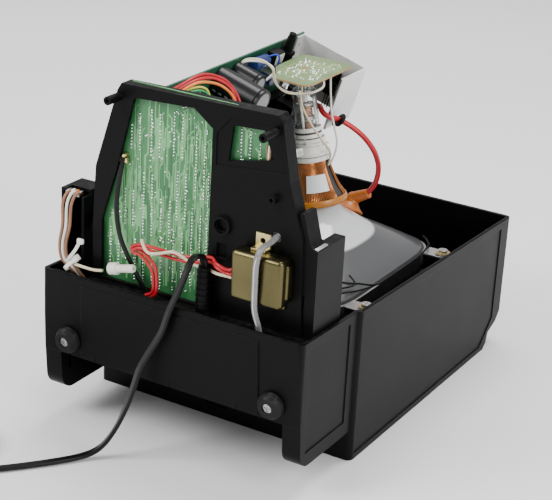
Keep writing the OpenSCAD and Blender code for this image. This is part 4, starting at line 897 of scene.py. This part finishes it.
# white and brown parts that show through the small window's corner
round_bits = [wire("window_bit", [(66 + i * 1.6, logic_y - 1.2, 250 + i * 1.5),
                                  (67.5 + i, logic_y - 2.4, 258 + i),
                                  (66 + i * 2, logic_y - 1.2, 266)], 0.8, c, 4) for i,
                                  c in enumerate((BROWN, WHITE, BROWN))]
bits = together("window_leads", round_bits)
edge = round_box("board_edge", (-52, logic_y + 0.4, 289.4), (40, logic_y + 1.2, 290.2), LOGIC_COPPER, 0.2)
# gold link with the dark strap's crimp
link_parts = [round_box("gold_link", (-60.5, logic_y - 3.4, 226), (-53.5, logic_y - 0.1, 230), BRASS, 0.5),
              lathe("gold_post", [(0.01, 0), (1.5, 0), (1.5, 4.4), (1.0, 5), (0.01, 5)], BRASS,
                    at(-55.6, logic_y - 0.2, 232) @ turn("X", 90), 20)]
gold = together("strap_link", link_parts)

# %% Dark strap down the board
verts, faces = sweep(smooth_line([(-56.5, logic_y - 2.6, 231), (-58.2, -160.4, 222), (-60.6, -161.6, 203),
                                  (-60.4, -162.6, 184), (-56, -163.2, 166), (-46.5, -163.4, 149),
                                  (-36, -163.6, 134),
                                  (-30, -163.6, 127)], 6),
                     [(-1.9, -0.5), (-1.2, -0.8), (1.2, -0.8), (1.9, -0.5), (1.9, 0.5), (1.2, 0.8),
                      (-1.2, 0.8),
                      (-1.9, 0.5)], (1, 0, 0))
strap = piece("logic_strap", verts, faces, BLACK)
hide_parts("board_strap")

# %% [markdown]
# ## 11. The neck board
# Its soldered side faces up: pads, blobs and a ring of pins where the tube's socket is soldered. The cut edge
# shows the laminate's brown core.

# %% Neck board
outline = [(-42, 34), (-24, 4), (4, 2), (8, 8), (8, 76), (2, 81), (-40, 81), (-43, 78)]
neck_core = slab_shape("neck_board_core", outline, 1.45, TAN, at(0, 0, board_z), 0.12)
skin = [(x * 0.992 - 0.14, (y - 42) * 0.994 + 42) for x, y in outline]
neck_skin = slab_shape("neck_board_skin", skin, 0.16, SAGE, at(0, 0, board_z + 1.44))
neck_board = together("neck_board_sheet", [neck_core, neck_skin])
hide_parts("neck_board")
lines, widths = [], []
for i in range(46):
    x, y = dice.uniform(-34, 2), dice.uniform(14, 68)
    dx, dy = dice.choice(((1, 0), (0, 1), (0.7, 0.7), (-0.7, 0.7)))
    n = dice.uniform(4, 14)
    ends = (x + dx * n, y + dy * n)
    if -34 < ends[0] < 4 and 12 < ends[1] < 72:
        lines.append([(x, y), ends, (ends[0] + dy * 3, ends[1] - dx * 3)])
        widths.append(dice.choice((0.8, 1.2, 2.0, 3.2)))
top = tracks("neck_tracks", lines, widths, at(0, 0, board_z + 1.6), SAGE_COPPER, 0.05)
socket_mid = (-20.5, 44)
pads = [((socket_mid[0] + 7.6 * math.cos(math.radians(a)), socket_mid[1] + 7.6 * math.sin(math.radians(a)),
          board_z + 1.6), (0, 0, 0), 1.25) for a in range(20, 340, 40)]
for x, y in [(dice.uniform(-33, 4), dice.uniform(12, 74)) for i in range(58)]:
    pads.append(((x, y, board_z + 1.6), (0, 0, dice.uniform(0, 6)), dice.choice((0.8, 1.0, 1.35))))
blobs = copies("neck_solder", drop_item, pads, SOLDER, seed=9, spread=0.2)
hub = lathe("neck_hub", [(0.01, 0), (2.4, 0), (2.4, 1.1), (1.3, 1.3), (1.1, 0.5), (0.01, 0.5)], TAN,
            at(socket_mid[0], socket_mid[1], board_z + 1.6), 24)
sock = lathe("tube_socket", [(0.01, -1), (15.4, -1), (16.4, -2), (16.4, -7.5), (14.8, -9.6), (9.5, -9.6),
                             (9.2, -8.4),
                             (0.01, -8.4)], TRIM, at(-21.6, 44, board_z + 0.4))
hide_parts("neck_socket")

# %% [markdown]
# ## 12. The tube's neck, gun and yoke
# The neck is clear glass, so what stands inside it shows: a stack of cups on glass rods. Round the neck sit
# two bright bands, the white rings and the wound yoke with its blank label.

# %% Cone and neck
cone_steps = [(0, 1, 1, 6), (0.08, 0.97, 0.97, 5.2), (0.2, 0.88, 0.885, 4.2), (0.38, 0.73, 0.73, 3.3),
              (0.56, 0.585, 0.56, 2.8), (0.74, 0.45, 0.42, 2.45), (0.89, 0.345, 0.30, 2.15)]
face_steps = [(-0.30, 0.1, 0.1, 2), (-0.26, 0.42, 0.42, 2.3), (-0.16, 0.74, 0.74, 3),
              (-0.03, 0.93, 0.94, 4.6),
              (0.08, 0.985, 0.985, 5.6), (0.25, 1, 1, 6)]
rings = []
for s, a, b, e in face_steps:
    rings.append((72 + s * 24, 72 * a, 93 * b, e, None))
for s, a, b, e in cone_steps:
    rings.append((96 + s * 47, 72 * a, 93 * b, e, None))
K = 96
verts, faces = [], []


def outline_ring(z, hx, hy, e):
    ring = []
    for j in range(K):
        c, s = math.cos(2 * math.pi * j / K), math.sin(2 * math.pi * j / K)
        ring.append((hx * math.copysign(abs(c) ** (2 / e), c), 44 + hy * math.copysign(abs(s) ** (2 / e), s),
                     z))
    return ring


stack = [outline_ring(z, hx, hy, e) for z, hx, hy, e, _ in rings]
for c, r in ((0, 20), (6, 16), (12, 13.2), (20, 11.4), (28, 10.4)):
    stack.append([tuple(NECK @ Vector((r * math.cos(2 * math.pi * j / K), r * math.sin(2 * math.pi * j / K),
                                       c)))
                  for j in range(K)])
# in-between rings by a smooth curve through each column
columns = [smooth_line([ring[j] for ring in stack], 4) for j in range(K)]
n = len(columns[0])
verts = [tuple(columns[j][i]) for i in range(n) for j in range(K)]
for i in range(n - 1):
    for j in range(K):
        faces.append((i * K + j, i * K + (j + 1) % K, (i + 1) * K + (j + 1) % K, (i + 1) * K + j))
faces.append(tuple(range(K))[::-1])
faces.append(tuple(range((n - 1) * K, n * K)))
cone = piece("tube_cone", verts, faces, TUBE, sharp=60)
neck_end = 104
shell = [(10.4, 28.4), (10.4, neck_end - 4), (9.0, neck_end - 1), (4, neck_end), (0.01, neck_end),
         (0.01, neck_end - 1), (4, neck_end - 1.2), (8.4, neck_end - 2), (9.6, neck_end - 5), (9.6, 28.4)]
neck_tube = lathe("tube_neck", shell, NECK_GLASS, NECK, 64, sharp=50)
gun = [lathe("gun_cup", [(0.01, a), (r, a), (r, b), (0.01, b)], m, NECK, 40) for a, b, r, m in
       ((44, 50, 6.8, GUN), (51, 58, 5.4, GUN_DARK), (59.5, 64, 7.2, GUN), (65.5, 74, 5.6, GUN_DARK),
        (75.5, 78.5, 7.0, GUN), (80, 87, 5.8, GUN_DARK), (88, 90, 7.4, GUN), (91, 97, 3.0, RING))]
for a in range(0, 360, 120):
    gun.append(lathe("gun_rod", [(0.01, 44), (1.1, 44), (1.1, 94), (0.01, 94)], RING,
                     NECK @ turn("Z", a + 35) @ at(7.8, 0, 0), 16))
for a in range(0, 360, 36):
    gun.append(lathe("gun_pin", [(0.01, 96), (0.5, 96), (0.5, 112), (0.01, 112)], STEEL,
                     NECK @ turn("Z", a) @ at(5.2, 0, 0), 10))
gun = together("tube_gun", gun)
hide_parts("picture_tube")

# %% Bands, yoke and its label
band_parts = [lathe("neck_band", [(10.6, a), (11.6, a), (11.6, b), (10.6, b)], m, NECK, 64)
              for a, b, m in ((61.2, 64.4, RING), (66.2, 69.6, RING), (64.4, 66.2, FERRITE))]
bands = together("neck_bands", band_parts)
bell = [(22.6, 6.4), (24.2, 7), (23.2, 11), (19.8, 17), (17, 25), (14.6, 34), (14, 41), (12.0, 41),
        (12.0, 34),
        (13.4, 26), (15, 18), (18, 11)]
core = lathe("yoke_core", bell, FERRITE, NECK, 64)
strand_item = template(lambda: wire("strand_item", [(24.2, 0, 8.2), (23.8, 0, 11.4), (20.8, 0, 17),
                                                    (18, 0, 25),
                                                    (15.6, 0, 34), (14.9, 0, 41.2), (12.4, 0, 42.2)], 0.62,
                                                    COPPER, 4,
                                    (0, 1, 0), 8))
STRANDS = 104       # turns of wire round the yoke, less the two gaps at its sides
strands = []
for i in range(STRANDS):
    a = i * 360 / STRANDS
    if (a % 180) < 11 or (a % 180) > 169:
        continue
    spin = (NECK @ turn("Z", a)).to_euler()
    strands.append(((0, 44, 143), tuple(spin), 1.0))
windings = copies("yoke_windings", strand_item, strands, COPPER, seed=3, spread=0.006)
rim = lathe("yoke_rim", [(22.4, 4.2), (26.4, 4.4), (27.1, 6.2), (26.2, 9.6), (25.2, 10), (25.0, 7.4),
                         (22.6, 6.6)], AMBER,
            NECK, 64)
collar = lathe("yoke_collar", [(12.2, 41.4), (16.2, 41.4), (16.6, 42.4), (16.6, 45.4), (12.2, 45.4)], RING,
               NECK, 64)
lumps = []
for a in (-62, -118, 62, 118):
    lumps.append(round_box("yoke_tape", (19.4, -3.6, 9), (24.6, 3.6, 15), AMBER, 1.4, NECK @ turn("Z", a) @
                           at(0, 0, 2) @ turn("Y", -16)))
yoke = together("yoke_bell", [core, rim, collar] + lumps)
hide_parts("deflection_yoke")
label = []
for i in range(9):
    a = math.radians(-52 + (i - 4) * 6.4)
    for c, r in ((17, 22.4), (31, 18.0)):
        for lift in (0.0, 0.25):
            label.append(((r + lift) * math.cos(a), (r + lift) * math.sin(a), c))
label_faces = []
for i in range(8):
    k = i * 4
    label_faces += [(k, k + 4, k + 6, k + 2), (k + 1, k + 3, k + 7, k + 5), (k, k + 1, k + 5, k + 4),
                    (k + 2, k + 6, k + 7, k + 3)]
label_faces += [(0, 2, 3, 1), (32, 33, 35, 34)]
blank = piece("yoke_label", label, label_faces, PAPER, NECK)

# %% [markdown]
# ## 13. Parts on the power board
# Large capacitors have a shrunk sleeve, a bare disc at the end and a row of pale marks, a painted highlight
# on the sleeve. Small parts are copies of a resistor and a disc, spread with the same placing tree.

# %% Capacitors and small parts
caps = [(-30, 14, 12.5, 44), (-6, 12, 9, 26), (-30, 44, 11, 35), (12, 46, 9, 28)]
cap_parts = []
for v, w, r, n in caps:
    place = POWER @ at(0.3, v, -w) @ turn("Y", 90)
    cap_parts.append(lathe("capacitor", [(0.01, 0), (r - 0.8, 0), (r, 0.8), (r, n - 4.6), (r - 0.7, n - 4.0),
                                         (r, n - 3.2), (r, n - 1.2), (r - 1.2, n - 0.4), (r - 2.2, n - 0.4),
                                         (r - 2.4, n - 0.9), (0.01, n - 0.9)], SLEEVE, place, 56))
    cap_parts.append(lathe("cap_disc", [(0.01, n - 0.9), (r - 2.5, n - 0.9), (r - 2.7, n - 0.5),
                                        (0.01, n - 0.5)], DISC_AND_HIGHLIGHT,
                           place, 56))
    # a row of pale grey marks along each sleeve: a painted highlight, in the end disc's grey
    for i in range(6):
        cap_parts.append(round_box("cap_mark", (-0.9, r - 0.25, 3 + i * (n - 8) / 6),
                                   (0.9, r + 0.08, 3 + i * (n - 8) / 6 + 3.2), DISC_AND_HIGHLIGHT, 0.1,
                                   place @ turn("Z", 200)))
big_caps = together("capacitor_cans", cap_parts)
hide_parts("filter_capacitors")
small = [(-70, 20, 4, 12), (-70, 34, 5, 14), (-58, 62, 6.5, 20), (-90, 26, 3, 11), (-95, 50, 5, 16),
         (-80, 80, 4, 12), (-20, 78, 4, 12), (0, 80, 5, 14), (42, 28, 4, 12), (30, 70, 5, 15)]
small_parts = []
for v, w, r, n in small:
    place = POWER @ at(0.3, v, -w) @ turn("Y", 90)
    small_parts.append(lathe("small_can", [(0.01, 0), (r, 0), (r, n - 1), (r - 0.6, n), (0.01, n)],
                             SLEEVE_BLUE, place, 28))
small_parts.append(lathe("blue_can", [(0.01, 0), (5.4, 0), (5.4, 1.4), (5.0, 2), (5.4, 2.6), (5.4, 20),
                                      (4.8, 21),
                                      (0.01, 21)], SLEEVE_BLUE, POWER @ at(6.2, 10, -7) @ turn("X", -90), 32))
small_caps = together("small_capacitor_set", small_parts)
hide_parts("small_capacitors")
resistor_item = template(lambda: lathe("resistor_item", [(0.01, -5.6), (0.35, -5.6), (0.35, -3.4),
                                                         (1.1, -3.2), (1.25, -2.4),
                                                         (1.0, -1.6), (1.0, 1.6), (1.25, 2.4), (1.1, 3.2),
                                                         (0.35, 3.4),
                                                         (0.35, 5.6), (0.01, 5.6)], TAB, k=14))
spots = []
for v, w in [(dice.uniform(-130, 92), -dice.uniform(5, 106)) for i in range(70)]:
    if all(abs(v - c[0]) > c[2] + 6 or abs(-w - c[1]) > c[2] + 6 for c in caps + small) and not (40 < v < 95):
        p = POWER @ Vector((1.2, v, w))
        spots.append((tuple(p), tuple((POWER @ turn("X", dice.choice((0, 90)))).to_euler()), 1.0))
resistors = copies("power_resistors", resistor_item, spots, BEIGE, seed=5, spread=0.05)
# the soldered side of the power board, seen from the left of the set
OUTER = POWER @ at(-1.6, 0, 0) @ turn("Y", -90)
outer_turn = tuple(OUTER.to_euler())
lines, widths = [], []
for i in range(210):
    w, v = dice.uniform(-104, -8), dice.uniform(-126, 76)
    w_end = min(-4, max(-108, w + dice.uniform(-16, 16)))
    v_end = v + dice.uniform(4, 24)
    lines.append([(w, v), (w, v_end), (w_end, min(98, v_end + abs(w_end - w)))])
    widths.append(dice.choice((0.9, 1.4, 2.2, 4.0)))
outer = tracks("power_tracks", lines, widths, OUTER, POWER_COPPER, 0.05)
spots = [(tuple(POWER @ Vector((-1.62, dice.uniform(-130, 94), dice.uniform(-108, -4)))), outer_turn,
          dice.choice((0.8, 1.0, 1.3))) for i in range(300)]
outer_solder = copies("power_solder", drop_item, spots, SOLDER, seed=6, spread=0.15)
# pins of the sound chip, pale against the black, and a blue lead beside it
pins = [round_box("chip_pin", (8.9, 43 + i * 2.2, -14), (9.6, 44 + i * 2.2, -5), RING, 0.15,
                  POWER) for i in range(6)]
chip_pins = together("sound_chip_pins", pins)
extra = [wire("blue_lead", [tuple(POWER @ Vector(q)) for q in ((0.6, 33, -12), (8, 34, -3), (13, 37, -1),
                                                               (14, 39, -8),
                                                             (11, 40, -18))], 0.8, BLUE),
         wire("orange_lead", [(-30, -150, 262), (-24, -143, 279), (-16, -128, 288), (-11.5, -112, 286),
                              (-8, -100, 280),
                              (-4.5, -92, 271), (-4, -88, 258)], 1.1, ORANGE_WIRE),
         wire("pink_lead", [(-34, -150, 262), (-27, -142, 280), (-19, -126, 288.6), (-16, -110, 288.4),
                            (-13, -98, 284), (-9.4, -88, 276), (-7, -82, 262)], 1.1, RED),
         wire("yellow_lead", [(-30, -149, 264), (-24, -140, 280), (-15, -128, 285.4), (-12, -118, 282),
                              (-12, -112, 272)], 0.9, YELLOW),
         wire("green_lead", [(-28, -149, 264), (-22, -141, 279), (-12, -130, 284), (-9, -120, 279),
                             (-9, -114, 268)], 0.9, GREEN)]
extra = together("coloured_leads", extra)
# the heat sink's dark edge strip and two screws through its sheet
sink = [round_box("sink_edge", (64.2, 56.6, -50), (66.2, 58.4, -1.4), DULL, 0.3, POWER)]
for x in (20, 42):
    sink.append(lathe("sink_screw", [(0.01, 0), (3.0, 0), (3.0, 1.2), (2.2, 2), (0.01, 2)], STEEL,
                      POWER @ at(x, 100.2, -22) @ turn("X", -90), 20))
sink = together("heat_sink_trim", sink)
# a dull plate, and a dark disc behind the ring boss's hole: painted shade that makes the hole show black
mica = together("shoulder_plates",
                [round_box("mica", (100.2, plate_y + 3, 196.2), (112.6, plate_y + 18, 197.6), DULL, 0.3),
                                    lathe("ring_plug", [(0.01, 0), (5.5, 0), (5.5, 1), (0.01, 1)], TRIM,
                                          at(34, plate_y + 2.8, 198.3) @ turn("X", 90), 32)])

# %% [markdown]
# ## 14. Transformer, switch box and small trim
# The transformer's can is drawn from sheet, so all its edges are round. The splice, the tie and the terminals
# are small turned and folded parts.

# %% Transformer can
can = [round_box("can", (52, plate_y - 17, 151.4), (95, plate_y - 1, 189.4), CAN, 3.4, segments=5),
       round_box("can_foot", (56, plate_y - 2.4, 146.4), (91, plate_y - 0.4, 156), CAN, 0.5),
       round_box("can_flap", (93.5, plate_y - 9, 158), (96.2, plate_y - 1, 184), CAN, 0.6)]
can = together("transformer_can", can)
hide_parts("mains_transformer")
# a thin white line laid along the mains lead's sheath inside the case: a painted highlight
lead_highlight_line = [wire("lead_gleam", [(78.5 - 0.55, plate_y - 18.9, 195.4), (76.1, plate_y - 22.5, 186),
                            (75.6, plate_y - 22.3, 168),
                            (75.2, plate_y - 20.6, 149), (75.2, plate_y - 14.2, 134)], 0.34, WHITE, 6, k=8)]

# %% Splice, tie and terminals
move = at(-59.4, box_y0 - 11, tie_z + 4.6) @ turn("Y", 76)
splice = lathe("splice_body", [(0.01, 0.2), (4.0, 0.2), (4.8, 0.8), (4.8, 7.4), (4.2, 8.2), (3.2, 8.6),
                               (3.2, 11), (3.0, 11.4),
                               (3.2, 11.8), (3.2, 22.4), (2.6, 23.4), (1.2, 23.4), (1.2, 21), (0.01, 21)],
                               SPLICE, move, 32)
wings = [round_box("splice_wing", (-4.9, -1.0, 0.8), (4.9, 1.0, 8), SPLICE, 0.5,
                   move @ turn("Z", a)) for a in (0, 90)]
splice = together("splice_cap", [splice] + wings)
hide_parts("splice_connector")
tie_place = at(-97, box_y0 - 10.5, tie_z - 2) @ turn("Y", 130)
loop = [tuple(tie_place @ Vector((5.6 * math.cos(a), 5.6 * math.sin(a), 0))) for a in
        [2 * math.pi * j / 24 for j in range(25)]]
verts, faces = sweep([Vector(p) for p in loop], [(-1.5, -0.45), (1.5, -0.45), (1.5, 0.45), (-1.5, 0.45)],
                     tuple(tie_place.to_3x3() @ Vector((0, 0, 1))))
tie_parts = [piece("tie_loop", verts, faces, TIE), round_box("tie_head", (-10.4, -2.6, -2.4),
                                                             (-5.6, 2.6, 2.4), TIE, 0.6, tie_place)]
tail_line = smooth_line([(-99, box_y0 - 12, tie_z + 1), (-95, box_y0 - 14, tie_z + 6),
                         (-90, box_y0 - 14, tie_z + 13),
                         (-86, box_y0 - 13, tie_z + 21)], 6)
verts, faces = sweep(tail_line, [(-1.3, -0.4), (1.3, -0.4), (1.3, 0.4), (-1.3, 0.4)], (0.7, 0.3, -0.6))
tie_parts.append(piece("tie_tail", verts, faces, TIE))
tie_parts.append(round_box("tie_tag", (-88.4, box_y0 - 14.4, tie_z + 19), (-83, box_y0 - 12, tie_z + 23), TIE,
                           0.5))
tied = together("cable_tie_strap", tie_parts)
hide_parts("cable_tie")
terminals = []
for i, m in enumerate((STEEL, WHITE, ORANGE_WIRE, STEEL)):
    terminals.append(round_box("terminal", (-111 + i * 3.6, box_y0 + 1, tie_z + 49.6),
                               (-108.6 + i * 3.6, box_y0 + 7, tie_z + 53.6),
                               m, 0.4))
terminals = together("switch_terminals", terminals)

# %% Washers, cone wires and the seam's bead
washers = []
for sx in (-1, 1):
    for sy in (-1, 1):
        washers.append(lathe("ear_washer", [(2.3, 0), (6.2, 0), (6.2, 0.8), (2.3, 0.8)], BRASS,
                             at(sx * 89, 44 + sy * 71, 98.9), 32))
washers = together("ear_washers", washers)
loops = [wire("cone_loop", [(52, -44, 98), (58, -48, 107), (66, -40, 112), (70, -24, 110), (68, -8, 107),
                            (60, -4, 111)],
              0.8, BLACK),
         wire("cone_loop", [(56, -46, 97), (63, -46, 105), (70, -34, 108), (74.5, -16, 105), (76.5, 4, 102)],
              0.8, BLACK)]
loops = together("cone_wires", loops)
bead = []
z_at = lambda y: 131.4 - 12.7 * (y - near_y) / 368
for pts in ([(-114, near_y + 0.9, 131.5), (114, near_y + 0.9, 131.5)],
            [(119.4, near_y + 88, z_at(near_y + 88) + 0.1), (119.4, near_y + 364, z_at(near_y + 364) + 0.1)],
            [(-119.4, near_y + 88, z_at(near_y + 88) + 0.1),
             (-119.4, near_y + 364, z_at(near_y + 364) + 0.1)]):
    bead.append(wire("seam_bead", [tuple(Vector(pts[0]).lerp(Vector(pts[1]), t / 4)) for t in range(5)], 0.45,
                     TRIM, 2, k=10))
bead = together("seam_beads", bead)
for item in (drop_item, strand_item, resistor_item):
    bpy.data.objects.remove(item)

# %% [markdown]
# ## 15. Finish
# The floor and the light.

# %% Floor and light
floor_material = new_material("floor_paper", (0.86, 0.86, 0.86), 0.9, specular=0.2)
floor_mesh = bpy.data.meshes.new("floor")
floor_mesh.from_pydata([(-40, -40, -0.0004), (40, -40, -0.0004), (40, 40, -0.0004), (-40, 40, -0.0004)], [],
                       [(0, 1, 2, 3)])
floor_mesh.materials.append(floor_material)
floor = bpy.data.objects.new("floor", floor_mesh)
bpy.context.scene.collection.objects.link(floor)


def softbox(name, place, target, size, power):
    data = bpy.data.lights.new(name, "AREA")
    data.shape = "RECTANGLE"
    data.size, data.size_y = size
    data.energy = power
    light = bpy.data.objects.new(name, data)
    light.location = place
    light.rotation_mode = "QUATERNION"
    light.rotation_quaternion = (Vector(target) - Vector(place)).to_track_quat("-Z", "Y")
    bpy.context.scene.collection.objects.link(light)


softbox("key", (-1.1, -1.5, 1.7), (0, 0, 0.12), (1.0, 1.0), 46)
softbox("side", (1.9, -0.5, 1.1), (0, 0, 0.12), (0.8, 1.2), 30)
softbox("top", (0.1, 0.7, 2.1), (0, 0, 0.1), (1.6, 1.0), 44)
world = bpy.data.worlds.new("studio")
world.use_nodes = True
world.node_tree.nodes["Background"].inputs["Color"].default_value = (1, 1, 1, 1)
world.node_tree.nodes["Background"].inputs["Strength"].default_value = 0.62
bpy.context.scene.world = world
